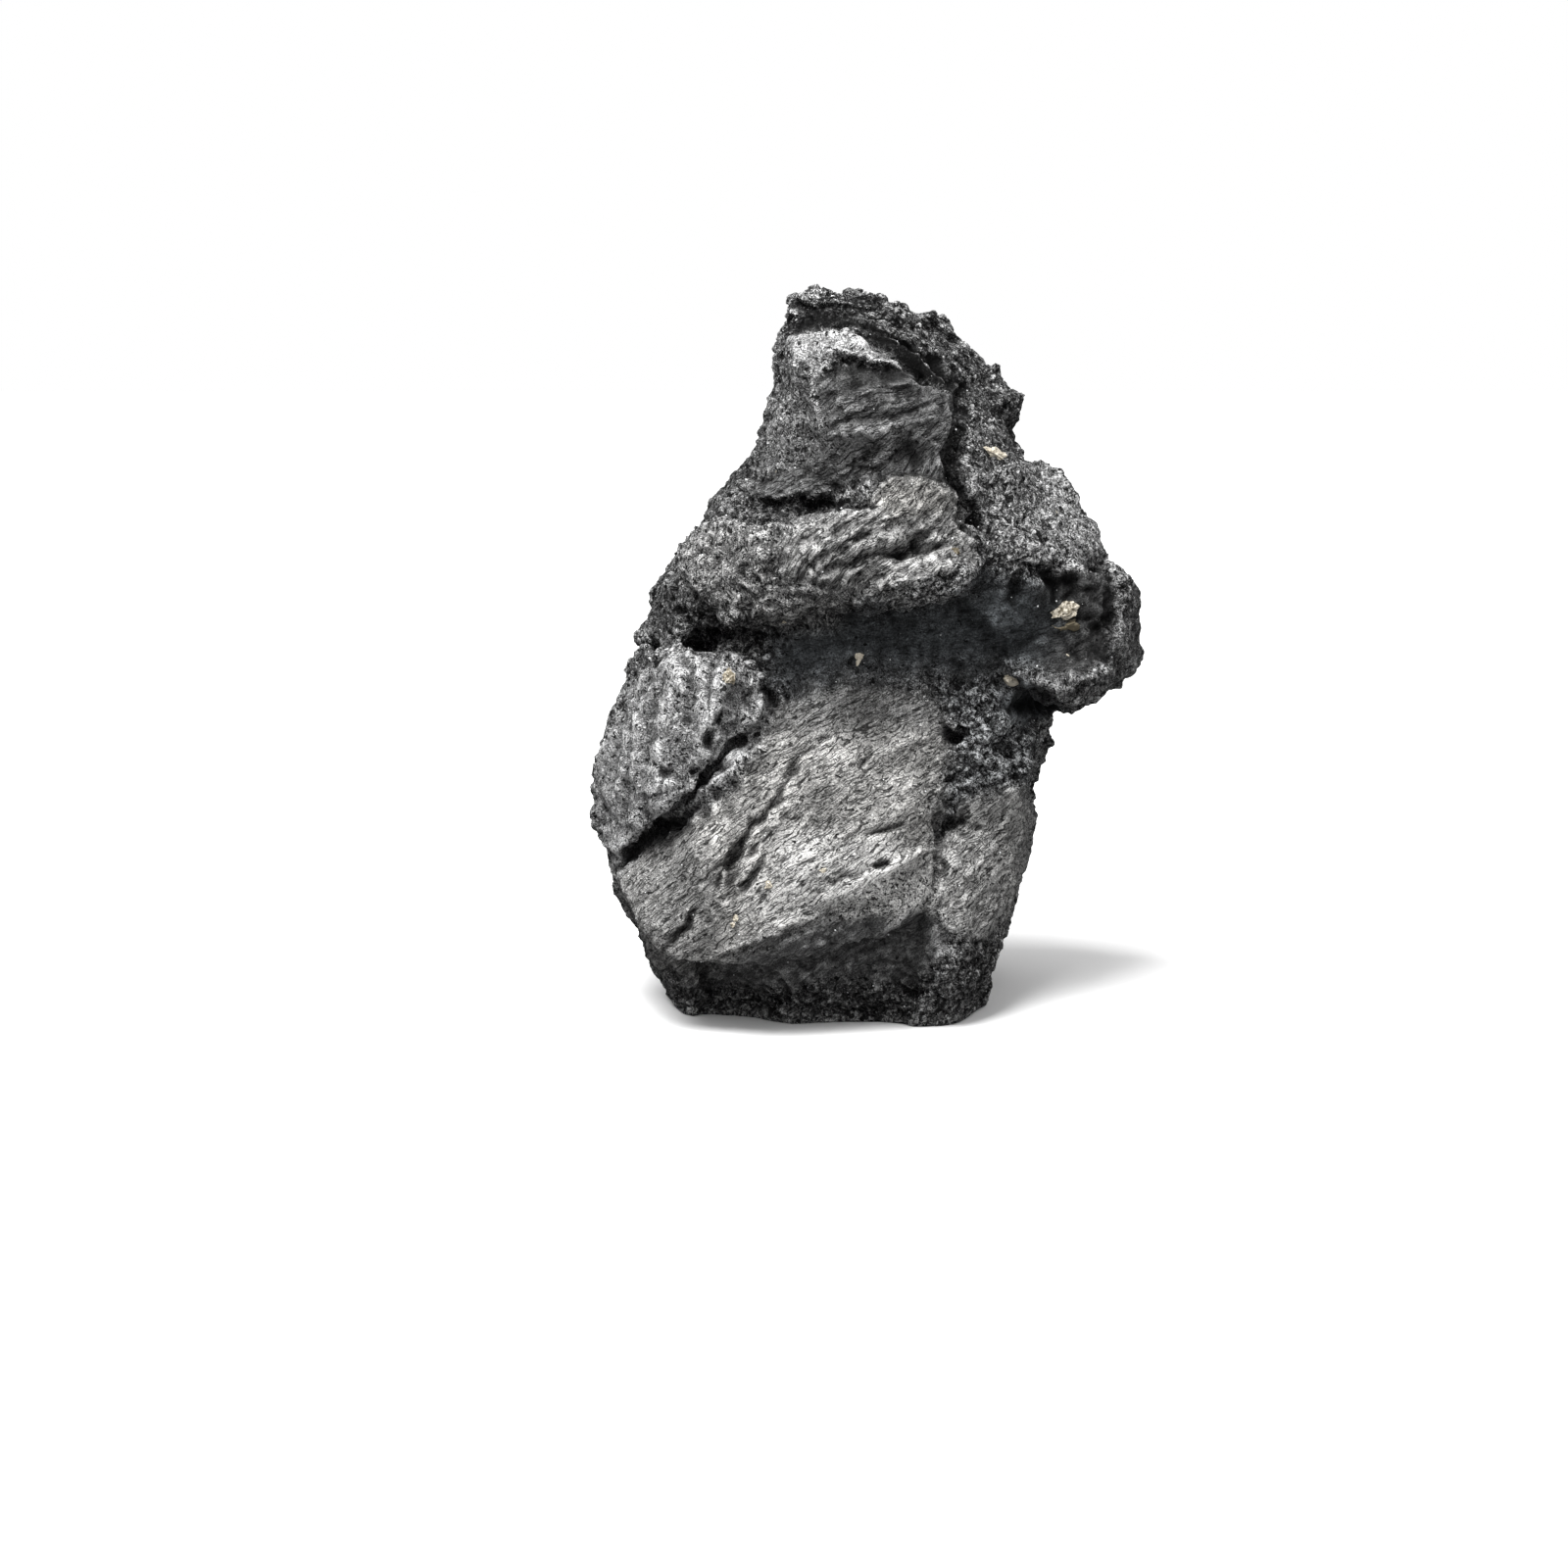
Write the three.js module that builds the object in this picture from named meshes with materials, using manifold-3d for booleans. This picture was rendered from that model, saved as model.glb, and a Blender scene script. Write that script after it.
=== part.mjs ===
// A tall piece of black lava rock for an aquascape, in millimetres, +Z up.
//
// The stone is one solid. Its large forms are angular blocks, each the hull of a few corners.
// They are joined, split into small faces, worn at their edges and bent by noise into lumps.
// The front faces -Y, and the origin is on the ground under the middle of the stone.

import * as THREE from "three";
import { ConvexGeometry } from "three/addons/geometries/ConvexGeometry.js";
import { TessellateModifier } from "three/addons/modifiers/TessellateModifier.js";
import { mergeVertices } from "three/addons/utils/BufferGeometryUtils.js";
import Module from "manifold-3d";

// Driving dimensions
const VIEW_ELEVATION = THREE.MathUtils.degToRad(12); // the front's corners are given as seen from here
const BURIED = -12; // how far the blocks of the foot reach below the ground before it is cut flat
const FACE_LENGTH = 11.8; // no edge of a face is longer than this
const SPLIT_PASSES = 12;
const WEAR_PASSES = 2;
const WEAR_SHARE = 0.32; // how far a pass takes a corner towards the middle of its neighbours
const LUMP_LENGTH = 26; // distance between one large lump and the next
const LUMP_HEIGHT = 2.6;
const KNOB_LENGTH = 12.5;
const KNOB_HEIGHT = 2.1;
const NOISE_SEED = 41;
const ROOT_DEPTH = 10; // how far a rib reaches into the stone
const MOUTH_DEPTH = 12; // how far the tool that opens a crack stands out of it

const WELD_GAP = 1e-4;
const GROUND_SIZE = 400; // of the block that cuts the foot flat

const ROCK_COLOUR = 0x3b3c3e;
const ROCK_ROUGHNESS = 0.9;

// A corner as it looks from the front: across, up the picture, and depth, which grows away from the viewer.
function seen(across, up, depth) {
  const height = (up - depth * Math.sin(VIEW_ELEVATION)) / Math.cos(VIEW_ELEVATION);
  return new THREE.Vector3(across, depth, height);
}

// A corner given by its true place, for what the front doesn't show.
function at(x, y, z) {
  return new THREE.Vector3(x, y, z);
}

// The inner mass that carries everything else, from the foot to just under the top.
function trunk() {
  return [
    at(-46, -30, BURIED), at(-18, -42, BURIED), at(18, -42, BURIED), at(32, -20, BURIED),
    at(34, 16, BURIED), at(16, 36, BURIED), at(-26, 40, BURIED), at(-48, 14, BURIED), at(-66, -32, 26),
    at(-24, -50, 24), at(22, -49, 22), at(42, -24, 22), at(46, 14, 26), at(30, 44, 28), at(-20, 50, 26),
    at(-60, 28, 22), at(-80, -4, 58), at(-64, -42, 55), at(-30, -52, 60), at(28, -46, 60),
    at(46, -18, 60), at(48, 14, 60), at(40, 46, 60), at(-20, 55, 62), at(-68, 34, 56), at(-66, 0, 112),
    at(-54, -32, 112), at(-30, -44, 116), at(26, -43, 118), at(52, -22, 116), at(64, 14, 112),
    at(50, 42, 115), at(-10, 50, 120), at(-46, 36, 112), at(-40, 0, 165), at(-34, -24, 165),
    at(0, -38, 168), at(24, -32, 168), at(50, -6, 160), at(56, 12, 160), at(34, 38, 165),
    at(-16, 36, 165), at(-24, 4, 212), at(-16, -12, 210), at(10, -14, 205), at(26, 8, 205),
    at(6, 28, 205), at(-16, 25, 212),
  ];
}

// The dark porous cap at the very top.
function crown() {
  return [
    seen(-20, 224.5, -5), seen(-25, 221.5, -5), seen(-27.5, 214, -7), seen(-29, 203, -4),
    seen(-8, 225, -3), seen(3, 223.5, -1), seen(-12, 217, -16), seen(-22, 213.5, -16), seen(0, 214, -16),
    seen(12, 212, -12), seen(-22, 220, 22), seen(-3, 221, 27), seen(-29, 196, 20), seen(6, 196, 4),
  ];
}

// The ridge that runs down to the right from the cap and stands behind the crag.
function nape() {
  return [
    seen(-6, 221, -4), seen(4, 220.5, -2), seen(10, 216, 2), seen(26, 215, 7), seen(31, 208, 9),
    seen(8, 209, -16), seen(22, 203, -18), seen(38, 201, 10), seen(42.5, 193.5, 11), seen(33, 190, -16),
    seen(47, 187, 12), seen(48, 183, 11), seen(44, 177, 4), seen(37, 172, -16), seen(22, 186, -27),
    seen(24, 172, -28), seen(18, 206, 32), seen(38, 188, 38), seen(30, 165, 42), seen(0, 205, 34),
  ];
}

// The porous flank between the edge of the front and the right outline.
function flank() {
  return [
    seen(20, 188, -30), seen(32, 188, -20), seen(44, 178, -4), seen(20, 160, -36), seen(36, 150, -40),
    seen(46, 168, -12), seen(54, 164, -6), seen(40, 134, -43), seen(52, 134, -39), seen(61, 150, -18),
    seen(57, 158, -12), seen(30, 122, -42), seen(48, 110, -38), seen(60, 150, 40), seen(44, 172, 36),
    seen(60, 110, 44), seen(20, 118, 0), seen(66, 130, -28), seen(69, 138, -12),
  ];
}

function shoulder() {
  return [
    seen(46, 169, 2), seen(52, 170, 8), seen(61, 166.5, 11), seen(64.5, 158, 12), seen(68.5, 151, 11),
    seen(73, 143, 9), seen(76, 137, 6), seen(74, 132, -8), seen(44, 160, -14), seen(44, 138, -28),
    seen(58, 134, -30), seen(67, 143, -16), seen(55, 158, -14), seen(44, 165, 42), seen(60, 150, 40),
    seen(66, 122, 40), seen(28, 148, 46),
  ];
}

// The large knob that hangs out over the right side.
function knob() {
  return [
    seen(52, 137, -28), seen(66, 135, -28), seen(75, 128, -25), seen(77, 113, -23), seen(75, 101, -24),
    seen(64, 95, -26), seen(50, 99, -28), seen(44, 112, -32), seen(42, 128, -36), seen(76, 92, -12),
    seen(62, 90, -16), seen(58, 90, 20), seen(74, 122, 36), seen(76, 100, 34), seen(48, 124, 46),
    seen(30, 112, -20),
  ];
}

// The lit rim under the knob's dark hollow.
function knobSill() {
  return [
    seen(45, 103, -37), seen(54, 98, -38), seen(66, 96.5, -37), seen(77, 99, -32), seen(84, 104, -24),
    seen(50, 95, -31), seen(64, 90.5, -30), seen(75, 91.5, -24), seen(81, 96, -14), seen(56, 104, -33),
    seen(76, 106, -27), seen(60, 96, 0), seen(74, 100, 0), seen(42, 108, -30),
  ];
}

// The lobe at the far right, behind the knob.
function knobRim() {
  return [
    seen(75, 137.5, 0), seen(82.5, 135.5, 2), seen(87.5, 127, 2), seen(89.5, 117, 1), seen(89, 108, 0),
    seen(88, 102, -2), seen(82, 95.5, -8), seen(72, 94, -18), seen(79, 129, -20), seen(82, 112, -22),
    seen(78, 128, 32), seen(83, 106, 30), seen(66, 94, 24), seen(56, 120, 10),
  ];
}

// The pale block under the crown, with a bright top and a sharp right edge.
function crag() {
  return [
    seen(-27.5, 208, -10), seen(-26.5, 207, -26), seen(-16, 213.5, -13), seen(-4, 214, -13),
    seen(0, 212.5, -16), seen(10.6, 204.5, -24), seen(17.5, 199, -30), seen(24, 196.5, -34),
    seen(28.5, 191, -37), seen(27.5, 184, -39), seen(23, 173, -38), seen(1, 202, -40),
    seen(-10.6, 204, -43), seen(-20.3, 203, -41), seen(-23, 190, -43), seen(-5, 184, -50),
    seen(12, 182, -49), seen(-32, 184, -26), seen(-36, 172, -28), seen(-12, 166, -50), seen(18, 168, -45),
    seen(-24, 168, -42), seen(-28, 190, 8), seen(18, 185, 2), seen(0, 165, 0),
  ];
}

// The front between the crag and the brow, a hand's breadth of the same rock without a step at the right.
function neck() {
  return [
    seen(-40, 166, -26), seen(-32, 174, -34), seen(-12, 176, -48), seen(18, 174, -46), seen(28, 172, -38),
    seen(35, 158, -41), seen(37, 144, -45), seen(20, 140, -55), seen(-10, 146, -54), seen(-30, 150, -48),
    seen(-46, 154, -32), seen(-30, 150, 0), seen(24, 150, 0),
  ];
}

// The broad front face that overhangs the dark waist.
function brow() {
  return [
    seen(-60, 143, -26), seen(-58, 131, -35), seen(-48, 120, -45), seen(-37, 115, -52),
    seen(-17, 117.5, -57), seen(4.5, 123, -57), seen(23.4, 128, -54), seen(35, 134, -48),
    seen(38, 145, -44), seen(34, 156, -42), seen(4, 157, -56), seen(-8, 150, -59), seen(10, 141, -62),
    seen(-20, 134, -60), seen(-38, 148, -50), seen(-48, 154, -32), seen(-54, 140, 20), seen(30, 140, 10),
    seen(-30, 118, -20), seen(24, 122, -24),
  ];
}

// The left shoulder behind the brow, down to the porous hollow at the left of the waist.
function leftShoulder() {
  return [
    seen(-32, 184, -6), seen(-36, 176, -4), seen(-39, 169, -2), seen(-43.5, 165, -1), seen(-47.5, 160, 0),
    seen(-54, 149, 2), seen(-62, 138, 4), seen(-68, 126, 4), seen(-71, 113, 2), seen(-66, 116, -18),
    seen(-60, 130, -26), seen(-50, 148, -28), seen(-38, 166, -26), seen(-31, 172, -30),
    seen(-60, 108, -32), seen(-62, 122, 34), seen(-44, 154, 34), seen(-28, 178, 28), seen(-20, 112, 10),
    seen(-66, 104, 28), seen(-46, 118, -38),
  ];
}

// The ribbed, rough column at the left, whose flat top and right side stand out from the rest.
function leftColumn() {
  return [
    seen(-66, 110.5, -30), seen(-42, 110, -44), seen(-33, 104, -47), seen(-32, 94, -48),
    seen(-40, 80, -55), seen(-52, 66, -59), seen(-64, 54, -57), seen(-76, 45, -48), seen(-86, 43, -30),
    seen(-89, 52, -8), seen(-88.5, 64, -6), seen(-86, 78, -6), seen(-81, 97, -6), seen(-76, 107, -4),
    seen(-56, 92, -56), seen(-70, 74, -52), seen(-80, 62, -38), seen(-72, 95, -36), seen(-74, 60, 30),
    seen(-68, 96, 26), seen(-46, 90, 10),
  ];
}

// The foot of the column, set back under it.
function leftFoot() {
  return [
    seen(-84, 44, -20), seen(-76, 46, -38), seen(-56, 52, -52), seen(-74, 30, -34), seen(-66, 28, -46),
    at(-52, -32, BURIED), at(-54, 2, BURIED), at(-80, 8, 56), at(-76, -10, 26), at(-50, 24, BURIED),
    at(-40, 0, 20),
  ];
}

// The smooth, streaked slab of the lower front.
function slab() {
  return [
    seen(-34, 98, -42), seen(-5, 102, -42), seen(14, 96, -43), seen(26, 85, -45), seen(32, 77, -45),
    seen(24, 52, -56), seen(22, 33, -60), seen(13, 25, -62), seen(2, 19, -64), seen(-15, 18, -66),
    seen(-32, 13, -68), seen(-42, 8.5, -68), seen(-52, 8, -65), seen(-64, 12, -58), seen(-77, 28, -48),
    seen(-80, 42, -36), seen(-11, 74, -60), seen(-26, 40, -70), seen(2, 44, -69), seen(-52, 38, -66),
    seen(-34, 72, -58), seen(-60, 22, -10), seen(20, 22, -10), seen(0, 88, 0), seen(16, 70, -56),
  ];
}

// The rough band to the right of the slab's top.
function rightBand() {
  return [
    seen(14, 100, -40), seen(32, 100, -38), seen(46, 99, -26), seen(60, 87, -8), seen(58, 77, -8),
    seen(56, 69, -8), seen(50, 64, -22), seen(45, 68, -38), seen(33, 76, -48), seen(28, 60, -51),
    seen(20, 52, -50), seen(56, 72, 34), seen(60, 90, 36), seen(10, 60, 0), seen(40, 86, -42),
  ];
}

// The smooth flake below it, which runs down to the ground at the right.
function flake() {
  return [
    seen(26, 68, -51), seen(45, 67, -36), seen(49, 64, -24), seen(49, 52, -28), seen(50, 40, -22),
    seen(43, 22, -38), seen(34, 10, -50), seen(22, 14, -56), seen(22, 40, -56), at(34, -14, BURIED),
    at(24, -42, BURIED), at(44, 22, 24), at(48, 22, 50), at(0, 0, 20), at(14, -46, BURIED),
  ];
}

// The forms of the back: a leaning slab, a spur with a furrow between them, and a hump above.
function backSlab() {
  return [
    at(-46, 34, BURIED), at(-30, 44, BURIED), at(-6, 46, BURIED), at(-62, 42, 16), at(-36, 59, 18),
    at(-6, 58, 16), at(-70, 38, 40), at(-58, 57, 54), at(-24, 67, 58), at(-2, 60, 40), at(-66, 34, 84),
    at(-50, 52, 108), at(-26, 63, 96), at(-14, 58, 126), at(-2, 54, 98), at(-20, 20, 60),
  ];
}

function backSpur() {
  return [
    at(10, 40, BURIED), at(30, 34, BURIED), at(18, 50, 14), at(38, 46, 16), at(48, 30, 20),
    at(52, 44, 46), at(32, 61, 50), at(59, 38, 84), at(38, 59, 88), at(30, 50, 128), at(50, 38, 122),
    at(14, 46, 60), at(20, 20, 80),
  ];
}

function backHump() {
  return [
    at(-34, 28, 146), at(-26, 45, 150), at(-2, 55, 142), at(22, 49, 150), at(34, 36, 158),
    at(-24, 41, 180), at(2, 48, 178), at(20, 40, 176), at(-15, 34, 211), at(3, 34, 210), at(14, 10, 170),
    at(-12, 8, 200), at(-31, 26, 186), at(-30, 20, 120), at(20, 30, 120),
  ];
}

// The step low in the furrow between the slab and the spur of the back.
function backStep() {
  return [
    at(0, 46, BURIED), at(18, 42, BURIED), at(-10, 61, 18), at(22, 57, 22), at(-8, 66, 46),
    at(18, 63, 66), at(2, 56, 86), at(-20, 30, 30), at(20, 20, 40), at(30, 50, 50),
  ];
}

// The bulges low on either side, over the narrow foot.
function rightHip() {
  return [
    at(40, -6, 16), at(49, 8, 36), at(51, 22, 58), at(47, 38, 32), at(36, 38, 12), at(46, -10, 58),
    at(46, 36, 84), at(54, 6, 76), at(20, 10, 50), at(30, 10, BURIED),
  ];
}

function leftHip() {
  return [
    at(-56, 4, 8), at(-70, 18, 26), at(-81, 18, 58), at(-66, 40, 40), at(-79, 4, 68), at(-70, 32, 84),
    at(-50, 34, 12), at(-40, 10, 50), at(-60, 22, 104), at(-76, -6, 34),
  ];
}

// The ledge that runs up the back from the left hip to the hump.
function backRidge() {
  return [
    at(-66, 26, 96), at(-58, 40, 104), at(-44, 48, 122), at(-30, 50, 146), at(-38, 38, 162),
    at(-30, 34, 176), at(-58, 24, 118), at(-48, 22, 140), at(-20, 30, 130), at(-30, 10, 120),
  ];
}

// The middle of a line between two points of the surface, and half a width square to it in the picture.
function middle([x1, up1, depth1], [x2, up2, depth2], width) {
  const half = width / 2 / Math.hypot(x2 - x1, up2 - up1);
  return {
    x: (x1 + x2) / 2, up: (up1 + up2) / 2, depth: (depth1 + depth2) / 2,
    sideX: -(up2 - up1) * half, sideUp: (x2 - x1) * half,
  };
}

// A rib between two points of the surface, thickest in the middle, with its root in the stone.
function rib(from, to, width, height) {
  const { x, up, depth, sideX, sideUp } = middle(from, to, width);
  return [
    seen(...from), seen(...to), seen(x, up, depth - height),
    seen(x + sideX, up + sideUp, depth), seen(x - sideX, up - sideUp, depth),
    seen(from[0], from[1], from[2] + ROOT_DEPTH), seen(to[0], to[1], to[2] + ROOT_DEPTH),
    seen(x, up, depth + ROOT_DEPTH),
  ];
}

// A crack or pit between two points of the surface, widest and deepest in the middle, open to the front.
function crack(from, to, gap, deep) {
  const { x, up, depth, sideX, sideUp } = middle(from, to, gap);
  return [
    seen(...from), seen(...to), seen(x, up, depth + deep),
    seen(x + sideX, up + sideUp, depth), seen(x - sideX, up - sideUp, depth),
    seen(x + 2 * sideX, up + 2 * sideUp, depth - MOUTH_DEPTH),
    seen(x - 2 * sideX, up - 2 * sideUp, depth - MOUTH_DEPTH),
    seen(from[0], from[1], from[2] - MOUTH_DEPTH), seen(to[0], to[1], to[2] - MOUTH_DEPTH),
  ];
}

// The ribs that run down the left column, along the slab and over the brow: from, to, width, height.
const RIBS = [
  rib([-66, 108, -34], [-76, 62, -44], 9, 4),
  rib([-58, 108, -40], [-62, 60, -60], 10, 3),
  rib([-46, 106, -46], [-52, 74, -58], 11, 4),
  rib([-38, 96, -48], [-36, 78, -54], 10, 5),
  rib([-70, 20, -52], [-30, 52, -66], 9, 3),
  rib([-20, 26, -70], [20, 48, -64], 8, 2.5),
  rib([-14, 66, -60], [22, 82, -50], 9, 3),
  rib([-52, 130, -46], [-18, 142, -58], 10, 4),
  rib([0, 130, -60], [34, 146, -48], 9, 3),
];

// The cracks and pits that show from a step away: from, to, gap, depth.
const CRACKS = [
  crack([-46, 153, -36], [-2, 157.5, -56], 4, 8),
  crack([4, 139, -62], [26, 147, -52], 5, 8),
  crack([-63, 111, -34], [-42, 113, -46], 9, 14),
  crack([-47, 27, -68], [-38, 54, -64], 5, 8),
  crack([-3, 72, -61], [5, 81, -56], 4, 7),
  crack([22, 85, -47], [35, 81, -46], 8, 14),
  crack([72, 140, -30], [80, 113, -30], 6, 10),
  crack([-36, 94, -50], [-26, 88, -52], 6, 12),
  crack([22, 58, -54], [32, 46, -54], 9, 12),
  crack([42, 82, -36], [47, 70, -32], 6, 10),
  crack([-8, 110, -46], [16, 108, -46], 7, 7),
];

const BLOCKS = [
  trunk, crown, nape, flank, shoulder, knob, knobSill, knobRim, crag, neck, brow, leftShoulder, leftColumn,
  leftFoot, slab, rightBand, flake, backSlab, backSpur, backStep, backHump, backRidge, rightHip, leftHip,
];

const wasm = await Module();
wasm.setup();

// A closed geometry with its doubled corners merged.
function weld(geometry) {
  const bare = new THREE.BufferGeometry().setAttribute("position", geometry.getAttribute("position"));
  if (geometry.index) bare.setIndex(geometry.index);
  return mergeVertices(bare, WELD_GAP);
}

// A closed geometry as a solid for joining and cutting.
function toSolid(geometry) {
  const merged = weld(geometry);
  return new wasm.Manifold(new wasm.Mesh({
    numProp: 3,
    vertProperties: merged.getAttribute("position").array,
    triVerts: new Uint32Array(merged.index.array),
  }));
}

// A solid as a geometry.
function toGeometry(solid) {
  const mesh = solid.getMesh();
  return new THREE.BufferGeometry()
    .setAttribute("position", new THREE.BufferAttribute(new Float32Array(mesh.vertProperties), 3))
    .setIndex(new THREE.BufferAttribute(mesh.triVerts, 1));
}

// A repeatable number from 0 to 1 for each point of a grid.
function hash(i, j, k, seed) {
  const wave = Math.sin(i * 127.1 + j * 311.7 + k * 74.7 + seed * 53.3) * 43758.5453;
  return wave - Math.floor(wave);
}

function fade(t) {
  return t * t * t * (t * (t * 6 - 15) + 10);
}

// Smooth noise from -1 to 1, whose bumps are one unit apart.
function noise(x, y, z, seed) {
  const [i, j, k] = [Math.floor(x), Math.floor(y), Math.floor(z)];
  const [u, v, w] = [fade(x - i), fade(y - j), fade(z - k)];
  let sum = 0;
  for (let corner = 0; corner < 8; corner++) {
    const [a, b, c] = [corner & 1, (corner >> 1) & 1, corner >> 2];
    const share = (a ? u : 1 - u) * (b ? v : 1 - v) * (c ? w : 1 - w);
    sum += share * hash(i + a, j + b, k + c, seed);
  }
  return 2 * sum - 1;
}

// Wears edges round and fills creases, by moving each corner towards the middle of its neighbours.
function wear(geometry) {
  const places = geometry.getAttribute("position");
  const corners = geometry.index.array;
  const sums = Array.from({ length: places.count }, () => new THREE.Vector3());
  const counts = new Float32Array(places.count);
  const next = new THREE.Vector3();
  for (let i = 0; i < corners.length; i++) {
    const following = i % 3 === 2 ? i - 2 : i + 1;
    sums[corners[i]].add(next.fromBufferAttribute(places, corners[following]));
    counts[corners[i]] += 1;
  }
  const point = new THREE.Vector3();
  for (let i = 0; i < places.count; i++) {
    point.fromBufferAttribute(places, i).lerp(sums[i].divideScalar(counts[i]), WEAR_SHARE);
    places.setXYZ(i, point.x, point.y, point.z);
  }
}

// Moves a point by noise along all three axes, so that flat faces swell and sink and edges wander.
function bend(point, length, height, seed) {
  const [x, y, z] = [point.x / length, point.y / length, point.z / length];
  point.x += height * noise(x, y, z, seed);
  point.y += height * noise(x, y, z, seed + 1);
  point.z += height * noise(x, y, z, seed + 2);
}

// Joins the blocks, splits their faces, wears them and bends them.
function makeRock() {
  const blocks = [...BLOCKS.map((corners) => corners()), ...RIBS];
  const joined = blocks.map((corners) => toSolid(new ConvexGeometry(corners))).reduce((a, b) => a.add(b));
  const cracked = CRACKS
    .map((corners) => toSolid(new ConvexGeometry(corners)))
    .reduce((stone, cut) => stone.subtract(cut), joined);
  const rock = weld(new TessellateModifier(FACE_LENGTH, SPLIT_PASSES).modify(toGeometry(cracked)));
  for (let pass = 0; pass < WEAR_PASSES; pass++) wear(rock);
  const places = rock.getAttribute("position");
  const point = new THREE.Vector3();
  for (let i = 0; i < places.count; i++) {
    point.fromBufferAttribute(places, i);
    bend(point, LUMP_LENGTH, LUMP_HEIGHT, NOISE_SEED);
    bend(point, KNOB_LENGTH, KNOB_HEIGHT, NOISE_SEED + 3);
    places.setXYZ(i, point.x, point.y, point.z);
  }
  return rock;
}

// Cuts off what is below the ground, so that the stone has a flat face to rest on.
function cutFlat(solid) {
  const ground = new THREE.BoxGeometry(GROUND_SIZE, GROUND_SIZE, GROUND_SIZE);
  ground.translate(0, 0, -GROUND_SIZE / 2);
  return solid.subtract(toSolid(ground));
}

// Puts the middle of the stone's bounds over the origin.
function centre(geometry) {
  geometry.computeBoundingBox();
  const middle = geometry.boundingBox.getCenter(new THREE.Vector3());
  return geometry.translate(-middle.x, -middle.y, 0);
}

const rock = new THREE.Mesh(
  centre(toGeometry(cutFlat(toSolid(makeRock())))),
  new THREE.MeshStandardMaterial({ color: ROCK_COLOUR, roughness: ROCK_ROUGHNESS, metalness: 0 }),
);
rock.name = "lava_rock";

const part = new THREE.Group();
part.add(rock);

export default part;
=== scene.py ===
"""A tall piece of black lava rock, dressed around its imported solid.

The stone is refined from the solid itself: remeshed, carved with the cracks, ledges and hollows that the
photograph shows, roughened by a Geometry Nodes relief of pores and flow streaks, and thinned again. Pale
fragments and glints are small pieces set in that surface.

Lengths are in metres unless a comment says otherwise. The front faces -Y. Places on the front are given as
pixels of the photograph, which PhotoView turns into directions.
"""

import logging
import math
from collections.abc import Callable
from dataclasses import dataclass, fields
from enum import Enum
from typing import ClassVar

import bmesh
import bpy
import numpy as np
from mathutils import Matrix, Vector
from mathutils.bvhtree import BVHTree


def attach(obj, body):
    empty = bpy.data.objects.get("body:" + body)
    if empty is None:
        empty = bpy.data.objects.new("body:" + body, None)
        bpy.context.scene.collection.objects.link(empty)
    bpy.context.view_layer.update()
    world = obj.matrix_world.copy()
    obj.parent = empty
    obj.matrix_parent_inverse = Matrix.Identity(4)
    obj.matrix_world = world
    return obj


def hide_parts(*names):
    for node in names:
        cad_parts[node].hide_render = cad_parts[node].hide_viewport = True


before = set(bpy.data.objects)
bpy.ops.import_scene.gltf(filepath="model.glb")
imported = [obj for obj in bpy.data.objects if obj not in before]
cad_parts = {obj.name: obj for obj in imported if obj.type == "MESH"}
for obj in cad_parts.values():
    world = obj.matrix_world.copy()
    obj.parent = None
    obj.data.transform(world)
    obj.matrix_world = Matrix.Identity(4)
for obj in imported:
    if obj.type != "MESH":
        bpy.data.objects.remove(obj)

LOG = logging.getLogger("lava_rock")
# one millimetre
MM = 0.001
# keeps a division from failing
TINY = 1e-9
BODY = "root"
NODE = "lava_rock"

Colour = tuple[float, float, float]
Pixel = tuple[float, float]


class Treatment(Enum):
    """How a part of the surface is worked."""

    CINDERY = "broken crust, full of pores"
    STREAKED = "thin plates and cracks along the flow"
    POCKED = "pores in a smoother skin"
    RIBBED = "upright ribs"
    ROPY = "twisted ropes of dark crust with pores between"
    DUSTED = "grainy, with few small pores"
    QUIET = "smooth and dim"


@dataclass(frozen=True)
class Relief:
    """How much of each kind of relief a treatment has, from 0 to 1."""

    pores: float
    cinders: float = 0.0
    streaks: float = 0.0
    ribs: float = 0.0


RELIEFS = {
    Treatment.CINDERY: Relief(pores=1.0, cinders=1.0),
    Treatment.STREAKED: Relief(pores=0.2, streaks=1.0),
    Treatment.POCKED: Relief(pores=0.72),
    Treatment.RIBBED: Relief(pores=0.6, ribs=1.0),
    Treatment.ROPY: Relief(pores=0.85, cinders=0.35, streaks=0.9),
    Treatment.DUSTED: Relief(pores=0.6),
    Treatment.QUIET: Relief(pores=0.2, streaks=0.45),
}


class Cut(Enum):
    """What a carved feature does to the surface."""

    GROOVE = -1.0
    RIDGE = 1.0


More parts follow.
